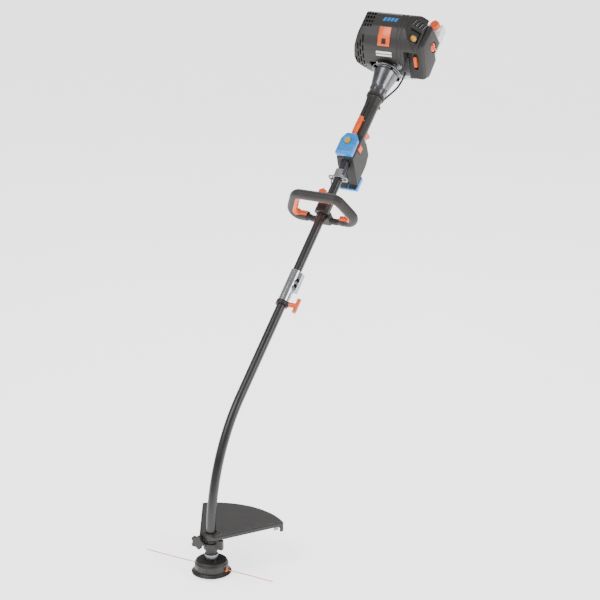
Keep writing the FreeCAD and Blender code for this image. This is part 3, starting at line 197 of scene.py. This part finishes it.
def powder_coated_steel():
    """Satin powder coat on drawn tube: a soft long highlight with a slight orange peel."""
    material, tree, place = start("powder_coated_steel")
    peel = add(tree, "TexNoise", inputs={
        "Vector": place, "Scale": lumps(1.6), "Detail": 1.0}).outputs["Fac"]
    dust = add(tree, "TexNoise", inputs={
        "Vector": place, "Scale": lumps(60), "Detail": 3.0}).outputs["Fac"]
    relief = add(tree, "Bump", inputs={"Strength": 0.16, "Distance": 0.12 * MM, "Height": peel})
    gloss = add(tree, "MapRange", inputs={
        "Value": dust, **PATTERN_SPAN, "To Min": 0.32, "To Max": 0.4}).outputs[0]
    shader = add(tree, "BsdfPrincipled", inputs={
        "Base Color": mixed(tree, dust, "1E1C1D", "272526"), "Roughness": gloss,
        "Metallic": 0.25, "Coat Weight": 0.25, "Coat Roughness": 0.3, "Normal": relief.outputs[0]})
    end(tree, shader)
    return material


def metal(name, dark, light, rough, lay=(1, 1, 30), bump=0.12):
    """Bare metal whose tool marks run one way: streaks in the gloss, and a broken reflection."""
    material, tree, place = start(name)
    stretched = add(tree, "Mapping", inputs={"Vector": place, "Scale": lay}).outputs[0]
    marks = add(tree, "TexNoise", inputs={
        "Vector": stretched, "Scale": lumps(20), "Detail": 3.0}).outputs["Fac"]
    cloud = add(tree, "TexNoise", inputs={
        "Vector": place, "Scale": lumps(25), "Detail": 3.0}).outputs["Fac"]
    relief = add(tree, "Bump", inputs={"Strength": bump, "Distance": 0.08 * MM, "Height": marks})
    gloss = add(tree, "MapRange", inputs={
        "Value": marks, **PATTERN_SPAN, "To Min": rough[0], "To Max": rough[1]}).outputs[0]
    shader = add(tree, "BsdfPrincipled", inputs={
        "Base Color": mixed(tree, cloud, dark, light), "Metallic": 1.0,
        "Roughness": gloss, "Normal": relief.outputs[0]})
    end(tree, shader)
    return material


def cast_metal(name, dark, light, rough, grit=1.2):
    """Die-cast metal as it leaves the tool: a matt skin with fine pits."""
    material, tree, place = start(name)
    pits = add(tree, "TexNoise", inputs={
        "Vector": place, "Scale": lumps(grit), "Detail": 3.0}).outputs["Fac"]
    cloud = add(tree, "TexNoise", inputs={
        "Vector": place, "Scale": lumps(20), "Detail": 3.0}).outputs["Fac"]
    relief = add(tree, "Bump", inputs={"Strength": 0.4, "Distance": 0.2 * MM, "Height": pits})
    gloss = add(tree, "MapRange", inputs={
        "Value": pits, **PATTERN_SPAN, "To Min": rough[0], "To Max": rough[1]}).outputs[0]
    shader = add(tree, "BsdfPrincipled", inputs={
        "Base Color": mixed(tree, cloud, dark, light), "Metallic": 1.0,
        "Roughness": gloss, "Normal": relief.outputs[0]})
    end(tree, shader)
    return material


def milky_polyethylene():
    """Blow-moulded polyethylene: light soaks into the wall, which has a waxy, slightly wavy skin."""
    material, tree, place = start("milky_polyethylene")
    wave = add(tree, "TexNoise", inputs={
        "Vector": place, "Scale": lumps(14), "Detail": 1.0}).outputs["Fac"]
    relief = add(tree, "Bump", inputs={"Strength": 0.2, "Distance": 0.5 * MM, "Height": wave})
    shader = add(tree, "BsdfPrincipled", inputs={
        "Base Color": mixed(tree, wave, "DDE2E8", "F1F3F6"), "Roughness": 0.34, "IOR": 1.51,
        "Subsurface Weight": 0.45, "Subsurface Radius": (0.006, 0.006, 0.007),
        "Subsurface Scale": 0.6, "Normal": relief.outputs[0]})
    end(tree, shader)
    return material


def clear_amber_vinyl():
    """Soft clear vinyl tinted by the fuel behind it: a deep amber under a wet gloss."""
    material, tree, place = start("clear_amber_vinyl")
    wave = add(tree, "TexNoise", inputs={
        "Vector": place, "Scale": lumps(6), "Detail": 1.0}).outputs["Fac"]
    shader = add(tree, "BsdfPrincipled", inputs={
        "Base Color": mixed(tree, wave, "C07E04", "E8AE0C"), "Roughness": 0.12, "IOR": 1.52,
        "Transmission Weight": 0.35, "Coat Weight": 0.5})
    end(tree, shader)
    return material


FINISHES = {
    "tube_paint": powder_coated_steel(),
    "charcoal_plastic": textured_plastic("glass_filled_nylon", "1A1716", "221F1D"),
    "grip_rubber": textured_plastic("soft_overmoulded_rubber", "1C1918", "24211F", 1.4, 0.5,
                                    (0.5, 0.64), 0.08),
    "orange_plastic": gloss_plastic("orange_abs", "DC4C00", "EA5C04"),
    "blue_plastic": gloss_plastic("blue_abs", "0476C6", "0A88DE"),
    "yellow_button": gloss_plastic("yellow_soft_abs", "A98C2C", "BFA03A", (0.4, 0.5)),
    "polished_aluminium": metal("polished_aluminium", "66676A", "7C7D80", (0.2, 0.3)),
    "cast_aluminium": cast_metal("die_cast_aluminium", "8C8D90", "A4A5A8", (0.4, 0.55)),
    "chromed_steel": metal("chromed_steel", "A2A3A6", "BCBDC0", (0.08, 0.18), bump=0.05),
    "steel": metal("ground_steel", "737477", "8A8B8E", (0.3, 0.45)),
    "zinc_steel": metal("zinc_plated_steel", "808286", "9B9DA1", (0.26, 0.4), (1, 1, 4)),
    "black_screw": cast_metal("black_oxide_steel", "131314", "1D1D1E", (0.4, 0.5), 0.8),
    "milky_tank": milky_polyethylene(),
    "amber_bulb": clear_amber_vinyl(),
    "line_nylon": gloss_plastic("extruded_nylon", "F06A30", "F8824A", (0.3, 0.4)),
    "brass_eyelet": metal("turned_brass", "93501E", "AF6A2C", (0.22, 0.36)),
    "cable_black": textured_plastic("vinyl_sheath", "121112", "191819", 2.0, 0.2, (0.35, 0.45)),
}
WHITE_PRINT = gloss_plastic("white_print", "DDDDDC", "EDEDEC", (0.35, 0.45))


# ---- shaping ----------------------------------------------------------------------------------------

# the axes that an outline's two numbers and its depth run along: 0 is rise, 1 is side, 2 is along
FLAT = {"across": (0, 1, 2), "lengthways": (0, 2, 1), "top": (1, 2, 0)}


def extruded(points, plane, low, high):
    """An outline drawn out into a solid: across the shaft, lengthways seen from a side, or from the top."""
    first, second, depth = FLAT[plane]
    bm = bmesh.new()
    corners = []
    for point in points:
        spot = [0.0, 0.0, 0.0]
        spot[first], spot[second] = point
        spot[depth] = low
        corners.append(bm.verts.new(spot))
    face = bm.faces.new(corners)
    moved = bmesh.ops.extrude_face_region(bm, geom=[face])["geom"]
    push = Vector()
    push[depth] = high - low
    bmesh.ops.translate(bm, verts=[item for item in moved if isinstance(item, bmesh.types.BMVert)], vec=push)
    bmesh.ops.recalc_face_normals(bm, faces=bm.faces)
    return bm


def lathed(points, steps):
    """A profile of (radius, height) spun round the upright axis."""
    bm = bmesh.new()
    ring = [bm.verts.new((radius, 0, height)) for radius, height in points]
    edges = [bm.edges.new(pair) for pair in zip(ring, ring[1:])]
    bmesh.ops.spin(bm, geom=ring + edges, cent=(0, 0, 0), axis=(0, 0, 1), angle=2 * math.pi,
                   steps=steps, use_merge=True)
    bmesh.ops.remove_doubles(bm, verts=bm.verts, dist=0.001)
    bmesh.ops.recalc_face_normals(bm, faces=bm.faces)
    return bm


def peg(radius, length, turn=None, at=(0, 0, 0), sides=48):
    """A round bar about a point, along local z unless it is turned."""
    bm = bmesh.new()
    place = Matrix.Translation(at) @ (turn or Matrix())
    bmesh.ops.create_cone(bm, cap_ends=True, segments=sides, radius1=radius, radius2=radius,
                          depth=length, matrix=place)
    return bm


def brick(low, high):
    """A box between two corners."""
    bm = bmesh.new()
    bmesh.ops.create_cube(bm, size=1)
    low, high = Vector(low), Vector(high)
    bmesh.ops.scale(bm, verts=bm.verts, vec=high - low)
    bmesh.ops.translate(bm, verts=bm.verts, vec=(low + high) / 2)
    return bm


def rounded(bm, radius, sharper=25, segments=3, chosen=None):
    """Bevel the edges that turn more than an angle."""
    edges = [edge for edge in bm.edges if len(edge.link_faces) == 2
             and math.degrees(edge.calc_face_angle()) > sharper and (chosen is None or chosen(edge))]
    bmesh.ops.bevel(bm, geom=edges, offset=radius, offset_type="OFFSET", affect="EDGES",
                    segments=segments, profile=0.5, material=-1, clamp_overlap=True)
    return bm


def trimmed(bm, spot, outward):
    """Cut a solid by a plane and close it again."""
    geom = bm.verts[:] + bm.edges[:] + bm.faces[:]
    cut = bmesh.ops.bisect_plane(bm, geom=geom, plane_co=spot, plane_no=outward, clear_outer=True)
    rim = [item for item in cut["geom_cut"] if isinstance(item, bmesh.types.BMEdge)]
    if rim:
        bmesh.ops.edgeloop_fill(bm, edges=rim)
    return bm


def turned(degrees, axis):
    return Matrix.Rotation(math.radians(degrees), 4, axis)


def loose_object(bm, name):
    data = bpy.data.meshes.new(name)
    bm.to_mesh(data)
    bm.free()
    piece = bpy.data.objects.new(name, data)
    bpy.context.collection.objects.link(piece)
    return piece


def applied(piece):
    """The object's mesh with its modifiers applied, as a bmesh; the object goes."""
    graph = bpy.context.evaluated_depsgraph_get()
    data = bpy.data.meshes.new_from_object(piece.evaluated_get(graph))
    bm = bmesh.new()
    bm.from_mesh(data)
    bpy.data.meshes.remove(data)
    bpy.data.objects.remove(piece)
    return bm


def merged(parts):
    """Several shapes as one."""
    whole = bmesh.new()
    for part in parts:
        data = bpy.data.meshes.new("part")
        part.to_mesh(data)
        part.free()
        whole.from_mesh(data)
        bpy.data.meshes.remove(data)
    return whole


def cut_away(bm, tools):
    """A shape less some others."""
    base = loose_object(bm, "base")
    tool = loose_object(merged(tools), "tool")
    cut = base.modifiers.new("cut", "BOOLEAN")
    cut.operation = "DIFFERENCE"
    cut.solver = "EXACT"
    cut.use_self = True
    cut.object = tool
    result = applied(base)
    bpy.data.objects.remove(tool)
    return result


def shell(bm, wall):
    """Give an open skin a wall that grows inward."""
    piece = loose_object(bm, "skin")
    thick = piece.modifiers.new("wall", "SOLIDIFY")
    thick.thickness = wall
    thick.offset = -1
    return applied(piece)


def melted(node, place, voxel, passes):
    """A CAD node's shape with soft moulded edges, in a frame's millimetres."""
    bm = bmesh.new()
    bm.from_mesh(frame["nodes"][node].data)
    bmesh.ops.transform(bm, matrix=place.inverted(), verts=bm.verts)
    bmesh.ops.remove_doubles(bm, verts=bm.verts, dist=0.002)
    piece = loose_object(bm, "melt")
    grid = piece.modifiers.new("grid", "REMESH")
    grid.mode = "VOXEL"
    grid.voxel_size = voxel
    soft = piece.modifiers.new("soft", "SMOOTH")
    soft.factor = 0.5
    soft.iterations = passes
    return applied(piece)


def settle(bm, name, place, finish, body, nodes=(), smooth=32):
    """Put a finished shape in its place, shade it, and say what it rides on and stands for."""
    bmesh.ops.transform(bm, matrix=place, verts=bm.verts)
    bmesh.ops.recalc_face_normals(bm, faces=bm.faces)
    for face in bm.faces:
        face.smooth = True
    for edge in bm.edges:
        if len(edge.link_faces) == 2 and math.degrees(edge.calc_face_angle()) > smooth:
            edge.smooth = False
    piece = loose_object(bm, name)
    piece.data.materials.append(finish)
    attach(piece, body)
    if nodes:
        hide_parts(*nodes)
    return piece


# ---- trimmer line ---------------------------------------------------------------------------------

LINE_WIDTH = 0.0024
LINE_ROUTES = {
    "left": [(0.043, 0.0, 0.022), (0.1165, 0.003, 0.022), (0.190, 0.0, 0.022)],
    "right": [(-0.043, 0.0, 0.022), (-0.124, -0.003, 0.022), (-0.205, 0.0, 0.022)],
}


def lay_line(hand, points):
    data = bpy.data.curves.new("line_" + hand, "CURVE")
    data.dimensions = "3D"
    data.bevel_depth = LINE_WIDTH / 2
    data.bevel_resolution = 3
    data.use_fill_caps = True
    spline = data.splines.new("NURBS")
    spline.points.add(len(points) - 1)
    for point, spot in zip(spline.points, points):
        point.co = (*spot, 1)
    spline.order_u = 3
    spline.use_endpoint_u = True
    piece = bpy.data.objects.new("line_" + hand, data)
    bpy.context.collection.objects.link(piece)
    data.materials.append(FINISHES["line_nylon"])
    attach(piece, "cutting_head")
    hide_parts("trimmer_line_" + hand)


set_camera()
for hand, points in LINE_ROUTES.items():
    lay_line(hand, points)


# ---- CAD pieces that are shown as they are ---------------------------------------------------------

for entry in frame["record"]["subparts"]:
    shown = frame["nodes"][entry["node"]].data
    shown.materials.clear()
    shown.materials.append(FINISHES[entry["material_slot"]])


# ---- cutting head -----------------------------------------------------------------------------------

HEAD_SLOTS = 12
HEAD_STEPS = 160
ARBOR_HOLE = 9
EYELET_HOLE = 4.7
LINE_HEIGHT = 22


def make_head():
    """A two-tier head: a ribbed drum under a rounded crown, on a flared skirt."""
    low, high = extent("head_housing", GROUND)
    drum, top, foot = high.x, high.z, low.z
    crown = lathed([(ARBOR_HOLE, top), (drum - 14, top), (drum - 6, top - 0.8), (drum - 3.2, top - 3),
                    (drum - 2.6, top - 5.6), (drum - 1.6, top - 7), (drum - 0.4, top - 8.4),
                    (drum, top - 10), (drum, foot + 1.2), (drum - 0.5, foot), (drum - 3, foot),
                    (drum - 3, top - 12), (drum - 7, top - 6), (ARBOR_HOLE, top - 4),
                    (ARBOR_HOLE, top)], HEAD_STEPS)
    slots = []
    for number in range(HEAD_SLOTS):
        slot = brick((drum - 1, -0.6, foot + 3), (drum + 2, 0.6, top - 12))
        turn = math.radians(360 / HEAD_SLOTS * (number + 0.5))
        bmesh.ops.rotate(slot, verts=slot.verts, cent=(0, 0, 0), matrix=Matrix.Rotation(turn, 3, "Z"))
        slots.append(slot)
    holes = [peg(EYELET_HOLE, 12, turned(90, "Y"), (hand * (drum - 1), 0, LINE_HEIGHT)) for hand in (1, -1)]
    settle(cut_away(crown, slots + holes), "head_drum", GROUND, FINISHES["charcoal_plastic"],
           "cutting_head", ["head_housing"])
    low, high = extent("head_cover", GROUND)
    rim, foot, top = high.x, low.z, high.z
    skirt = lathed([(24, foot), (44, foot), (rim - 3, foot + 1.4), (rim - 0.5, foot + 3),
                    (rim, foot + 4.4), (rim - 1.2, foot + 5.8), (rim - 4, foot + 7.2),
                    (rim - 6.4, top - 1.4), (46, top), (42.4, top), (42.4, foot + 4), (24, foot + 4),
                    (24, foot)], HEAD_STEPS)
    settle(skirt, "head_skirt", GROUND, FINISHES["charcoal_plastic"], "cutting_head",
           ["head_cover"])
    low, high = extent("bump_knob", GROUND)
    button = lathed([(0, 0), (high.x - 9, 0), (high.x - 5, 0.6), (high.x - 1.6, 2.6), (high.x, 5.4),
                     (high.x, high.z), (0, high.z)], 120)
    settle(button, "bump_button", GROUND, FINISHES["charcoal_plastic"], "spool_unit",
           ["bump_knob"])


# ---- engine cover -----------------------------------------------------------------------------------

COVER_LOW, COVER_HIGH = extent("engine_cover", SHAFT)
COVER_TOP = COVER_HIGH.x
COVER_NEAR, COVER_FAR = COVER_LOW.z, COVER_HIGH.z
COVER_FRONT = [(COVER_LOW.x - 1, COVER_NEAR + 10), (20, COVER_NEAR + 2), (52, COVER_NEAR + 18),
               (71, COVER_NEAR + 32), (88, COVER_NEAR + 52), (COVER_TOP, COVER_NEAR + 80)]
BULB_LOW, BULB_HIGH = extent("primer_bulb", SHAFT)
BULB_RIM = 7.07  # how far the bulb's tilted rim reaches from its centre, in rise and in side
BULB_HOLE = 11
BULB_FOOT = Vector((BULB_LOW.x + BULB_RIM, BULB_LOW.y + BULB_RIM, (BULB_LOW.z + BULB_HIGH.z) / 2))
SQUARE = Vector((1, 1, 0)).normalized()
CORNER = 40  # how much the slope takes off the cowl's top left corner
SUNK = (COVER_TOP + COVER_HIGH.y - CORNER - BULB_FOOT.x - BULB_FOOT.y) / math.sqrt(2)
SHOULDER = (Matrix.Translation(BULB_FOOT + SQUARE * SUNK)
            @ Matrix(((-SQUARE.x, SQUARE.y, 0), (0, 0, 1), SQUARE)).transposed().to_4x4())
COWL_WALL = 2.6
WELL_DEPTH = 9
GRILLE = ((-70, -6, 96), (-78, -16, 90), (-86, -22, 74), (-94, 2, 56))  # side, lowest and highest rise
SLOT_HEIGHT = 15
SLOT_STEP = 20
ROOF_ROWS = 4
FINS = 4
FIN_STEP = 11
BAR_START, BAR_END = 37, 58
BAR_LEAN = 0.35
RIB_SIDES = (37, 49)
STRIPE_RISES = (46, 53.2)
STRIPE_WIDTH = 4.8
MARK_BARS = 4


def front_of_cover(rise):
    """How far along the shaft the cover's front face is, at that rise."""
    steps = zip(COVER_FRONT, COVER_FRONT[1:])
    for (low, near), (high, far) in steps:
        if low <= rise <= high:
            return near + (far - near) * (rise - low) / (high - low)
    return COVER_FRONT[-1][1]


def make_cover():
    """A faceted cowl with grille slots over the muffler and a sunk shoulder for the primer."""
    left, right = COVER_HIGH.y, COVER_LOW.y
    cowl = extruded([
        (COVER_LOW.x, -56), (COVER_LOW.x, -66), (-2, right + 14), (34, right), (64, right + 3),
        (COVER_TOP - 10, right + 12), (COVER_TOP, right + 24), (COVER_TOP, left - CORNER),
        (COVER_TOP - CORNER, left), (COVER_TOP - CORNER, left - CORNER), (24, left - CORNER), (26, -50)],
        "across", COVER_NEAR, COVER_FAR)
    for (low, near), (high, far) in zip(COVER_FRONT, COVER_FRONT[1:]):
        trimmed(cowl, (low, 0, near), (far - near, 0, low - high))
    trimmed(cowl, (COVER_TOP, 0, COVER_FAR - 20), (0.9, 0, 1))
    bmesh.ops.recalc_face_normals(cowl, faces=cowl.faces)
    rounded(cowl, 4.5, 18, 4)
    under = [face for face in cowl.faces if face.calc_center_median().x < 27.5
             and (face.normal.x < -0.9 or (face.normal.y > 0.9 and face.calc_center_median().y < -40))]
    bmesh.ops.delete(cowl, geom=under, context="FACES")
    openings = grille_tools() + fin_window_tools() + [primer_well(-WELL_DEPTH)]
    cowl = cut_away(shell(cowl, COWL_WALL), openings)
    settle(cowl, "engine_cowl", SHAFT, FINISHES["charcoal_plastic"], "powerhead",
           ["engine_cover"], 28)


def grille_tools():
    """Upright slots in staggered rows down the front of the muffler's lobe, and holes in the roof over it."""
    tools = []
    for side, first, last in GRILLE:
        for rise in range(first, last - SLOT_HEIGHT, SLOT_STEP):
            top = rise + SLOT_HEIGHT
            near, far = front_of_cover(rise), front_of_cover(top)
            tools.append(extruded([(rise, near - 5), (top, far - 5), (top, far + 9), (rise, near + 9)],
                                  "lengthways", side - 2, side + 2))
    for row in range(ROOF_ROWS):
        for column in range(ROOF_ROWS):
            along, side = COVER_NEAR + 76 + 14 * row, -52 - 9 * column
            tools.append(brick((COVER_TOP - 26, side - 3 - row / 2, along),
                               (COVER_TOP + 9, side + 2, along + 8)))
    return tools


def fin_window_tools():
    """Slanted openings in the shoulder, over the cylinder's fins."""
    return [slanted_bar(-24 + FIN_STEP * number, 5.5, -8, 6) for number in range(FINS)]


def on_shoulder(bm):
    """Take a shape from the shoulder's slope, where the primer bulb's axis is its z, to the shaft."""
    bmesh.ops.transform(bm, matrix=SHOULDER, verts=bm.verts)
    return bm


def slanted_bar(start, width, low, high):
    """A bar that leans across the rear part of the shoulder's slope."""
    bm = brick((start, BAR_START, low), (start + width, BAR_END, high))
    for vertex in bm.verts:
        vertex.co.x += BAR_LEAN * (vertex.co.y - BAR_START)
    return on_shoulder(bm)


def primer_well(foot):
    """The hollow round the primer bulb, down to a depth under the slope."""
    bm = brick((-20, -17, foot), (15, 26, 8))
    return on_shoulder(rounded(bm, 5, 40, 4, lambda edge: abs((edge.verts[0].co - edge.verts[1].co).z) > 1))


def make_shoulder():
    """The primer's well, dark as painted shade in its hollow, and the silver fins behind the slanted
    openings.
    """
    room = on_shoulder(brick((-18.6, -15.6, -6.4), (13.6, 24.6, 12)))
    seat = on_shoulder(peg(BULB_HOLE, 40))
    cup = cut_away(primer_well(0.6 - WELL_DEPTH), [room, seat])
    well = trimmed(cup, SHOULDER @ Vector((0, 0, -0.4)), SQUARE)
    # the well's darker vinyl finish, unlike the cowl's, is painted shade in the hollow round the bulb
    settle(well, "primer_well", SHAFT, FINISHES["cable_black"], "powerhead")
    fins = [slanted_bar(-21 + FIN_STEP * number, 1.8, -16, -2.4) for number in range(FINS)]
    settle(merged(fins), "shoulder_fins", SHAFT, FINISHES["cast_aluminium"], "powerhead")


def make_cover_trim():
    """Ribs, plain stripes and a plain blue mark."""
    ribs = []
    for side in RIB_SIDES:
        points = [(rise, front_of_cover(rise) - 1.6) for rise in (24, 52, 71, 88)]
        points += [(COVER_TOP + 1.2, COVER_NEAR + 80), (COVER_TOP + 1.2, COVER_FAR - 18),
                   (COVER_TOP - 3, COVER_FAR - 16), (COVER_TOP - 3, COVER_NEAR + 84)]
        points += [(rise - 2, front_of_cover(rise) + 3) for rise in (88, 71, 52, 26)]
        ribs.append(rounded(extruded(points, "lengthways", side - 3, side + 3), 1.3, 40, 3))
    settle(merged(ribs), "cowl_ribs", SHAFT, FINISHES["charcoal_plastic"], "powerhead")
    stripes = [bent_strap(-2, (low, low + STRIPE_WIDTH), 50, 0.5, 0.5) for low in STRIPE_RISES]
    settle(merged(stripes), "cowl_stripes", SHAFT, WHITE_PRINT, "powerhead")
    bars = []
    for number in range(MARK_BARS):
        side = -22 + 12 * number
        bars.append(extruded([(side, COVER_FAR - 46), (side + 8, COVER_FAR - 46),
                              (side + 12, COVER_FAR - 34), (side + 4, COVER_FAR - 34)],
                             "top", COVER_TOP - 0.4, COVER_TOP + 0.5))
    settle(merged(bars), "cowl_mark", SHAFT, FINISHES["blue_plastic"], "powerhead")


def bent_strap(side, rises, width, lift, sink):
    """A strip over the breaks of the cover's front slope, between a lift above it and a sink below."""
    spots = [Vector((rise, front_of_cover(rise))) for rise in rises]
    outer, inner = [], []
    for number, spot in enumerate(spots):
        before, after = spots[max(number - 1, 0)], spots[min(number + 1, len(spots) - 1)]
        run = (after - before).normalized()
        out = Vector((run.y, -run.x))
        outer.append(spot + out * lift)
        inner.append(spot - out * sink)
    return extruded([tuple(spot) for spot in outer + inner[::-1]], "lengthways",
                    side - width / 2, side + width / 2)


def make_latch():
    """A sliding latch that follows the slope, with a finger hollow at its foot whose floor is a dark sheet of
    painted shade.
    """
    low, high = extent("cover_latch", SHAFT)
    middle = (low.y + high.y) / 2
    strap = rounded(bent_strap(middle, (71, 88, 99.5), high.y - low.y, 3.2, 0.5), 1.3, 30, 3)
    hollow = rounded(bent_strap(middle, (74.5, 85.5), 15, 8, -0.6), 1.5, 40, 3)
    settle(cut_away(strap, [hollow]), "cowl_latch", SHAFT, FINISHES["orange_plastic"], "powerhead",
           ["cover_latch"])
    # a dark sheet laid on the finger hollow's floor: painted shade
    floor = bent_strap(middle, (75, 85), 14, 1.1, -0.3)
    settle(floor, "latch_recess_shade", SHAFT, FINISHES["cable_black"], "powerhead")


# ---- air cleaner ------------------------------------------------------------------------------------

CLEANER_VENTS = 5
VENT_WIDTH = 3.6


def make_air_cleaner():
    """A boxy cover with a sunk knob, a slot for the choke and vents along its lower rim."""
    low, high = extent("air_filter_cover", SHAFT)
    near, far, face = low.z, high.z, high.y
    lid = extruded([(59, near + 51), (56, far - 2), (-25, far), (-25, far - 42), (-44, far - 48),
                    (low.x, near + 25), (-30, near)], "lengthways", low.y, face)
    rounded(lid, 9, 40, 5, lambda edge: all(v.co.y > face - 1 for v in edge.verts))
    rounded(lid, 3, 30, 3)
    knob = SHAFT.inverted() @ Vector(joints["filter_knob_turn"]["pos_m"])
    tools = [peg(16, 14, turned(90, "X"), (knob.x, face, knob.z), 72)]
    tools.append(rounded(extruded([(37, near + 29), (-4, near + 5), (-4, near + 33), (37, near + 43)],
                                  "lengthways", 81, 92), 1, 30, 2))
    for number in range(CLEANER_VENTS):
        side = low.y + 9 + 8 * number
        tools.append(extruded([(-50, near + 13), (-33, near - 6), (-24, near + 6), (-41, near + 25)],
                              "lengthways", side, side + VENT_WIDTH))
    settle(cut_away(lid, tools), "air_cleaner_lid", SHAFT, FINISHES["charcoal_plastic"], "powerhead",
           ["air_filter_cover"], 28)


# ---- softly moulded parts -----------------------------------------------------------------------------

MOULDED = [
    # node, piece, frame, slot, body, grid in mm, smoothing passes
    ("fuel_tank", "tank_shell", SHAFT, "milky_tank", "powerhead", 1.8, 8),
    ("loop_handle", "handle_loop", SHAFT, "grip_rubber", "powerhead", 1.5, 8),
    ("guard", "guard_shell", GROUND, "charcoal_plastic", "boom", 1.8, 9),
    ("grip_shell_left", "grip_half_left", SHAFT, "charcoal_plastic", "powerhead", 1.3, 8),
    ("grip_shell_right", "grip_half_right", SHAFT, "charcoal_plastic", "powerhead", 1.3, 8),
    ("starter_cap", "starter_hood", SHAFT, "blue_plastic", "powerhead", 1.2, 45),
    ("battery_pack", "battery_case", SHAFT, "blue_plastic", "battery_pack", 1.0, 5),
    ("lockout_lever", "lockout_bar", SHAFT, "orange_plastic", "lockout_lever", 0.6, 5),
    ("throttle_trigger", "trigger_blade", SHAFT, "orange_plastic", "throttle_trigger", 0.6, 5),
    ("coupler_knob", "tee_knob", SHAFT, "orange_plastic", "coupler_knob", 0.6, 6),
    ("fuel_cap", "filler_cap", SHAFT, "orange_plastic", "fuel_cap", 0.6, 4),
    ("filter_knob", "cleaner_knob", SHAFT, "orange_plastic", "filter_knob", 0.6, 4),
    ("choke_lever", "choke_tab", SHAFT, "orange_plastic", "choke_lever", 0.5, 4),
    ("handle_knob", "clamp_knob", SHAFT, "orange_plastic", "handle_knob", 0.6, 5),
    ("guard_knob", "star_knob", GROUND, "charcoal_plastic", "guard_knob", 0.7, 5),
    ("guard_clamp", "guard_bracket", GROUND, "charcoal_plastic", "boom", 0.9, 4),
    ("handle_clamp", "handle_saddle", SHAFT, "charcoal_plastic", "powerhead", 0.9, 5),
    ("strap_hanger", "hanger_plate", SHAFT, "zinc_steel", "powerhead", 0.7, 2),
    ("clutch_housing", "neck_casting", SHAFT, "polished_aluminium", "powerhead", 0.9, 4),
    ("stop_switch", "rocker_switch", SHAFT, "orange_plastic", "stop_switch", 0.5, 4),
    ("primer_bulb", "primer_dome", SHAFT, "amber_bulb", "primer_bulb", 0.4, 3),
]


def make_moulded():
    for node, name, place, finish, body, voxel, passes in MOULDED:
        settle(melted(node, place, voxel, passes), name, place, FINISHES[finish], body,
               [node], 50)


make_head()
make_cover()
make_shoulder()
make_cover_trim()
make_latch()
make_air_cleaner()
make_moulded()


# ---- studio -------------------------------------------------------------------------------------------

FLOOR_REACH = 20
FLOOR_GLOW = 2.0
AIR_STRENGTH = 0.55
SOFTBOXES = [
    # name, azimuth, pitch, distance, size, power
    ("key_light", -25, 50, 4.0, (2.2, 2.2), 110),
    ("side_light", 95, 25, 3.6, (1.2, 2.4), 60),
    ("rim_light", 200, 45, 3.6, (1.6, 1.6), 50),
]


def lay_floor():
    """A wide flat floor of matt paper that glows a little, so that it stays pale."""
    bm = bmesh.new()
    bmesh.ops.create_grid(bm, x_segments=1, y_segments=1, size=FLOOR_REACH)
    floor = loose_object(bm, "studio_floor")
    material, tree, place = start("matt_paper")
    cloud = add(tree, "TexNoise", inputs={
        "Vector": place, "Scale": lumps(400), "Detail": 3.0}).outputs["Fac"]
    end(tree, add(tree, "BsdfPrincipled", inputs={
        "Base Color": mixed(tree, cloud, "F6F6F6", "FBFBFB"), "Roughness": 0.9,
        "Emission Color": (1, 1, 1, 1), "Emission Strength": FLOOR_GLOW}))
    floor.data.materials.append(material)


def light_studio():
    world = bpy.data.worlds.new("studio_air")
    world.use_nodes = True
    background = world.node_tree.nodes["Background"].inputs
    background["Color"].default_value = (1, 1, 1, 1)
    background["Strength"].default_value = AIR_STRENGTH
    bpy.context.scene.world = world
    for softbox in SOFTBOXES:
        add_softbox(*softbox)


lay_floor()
light_studio()
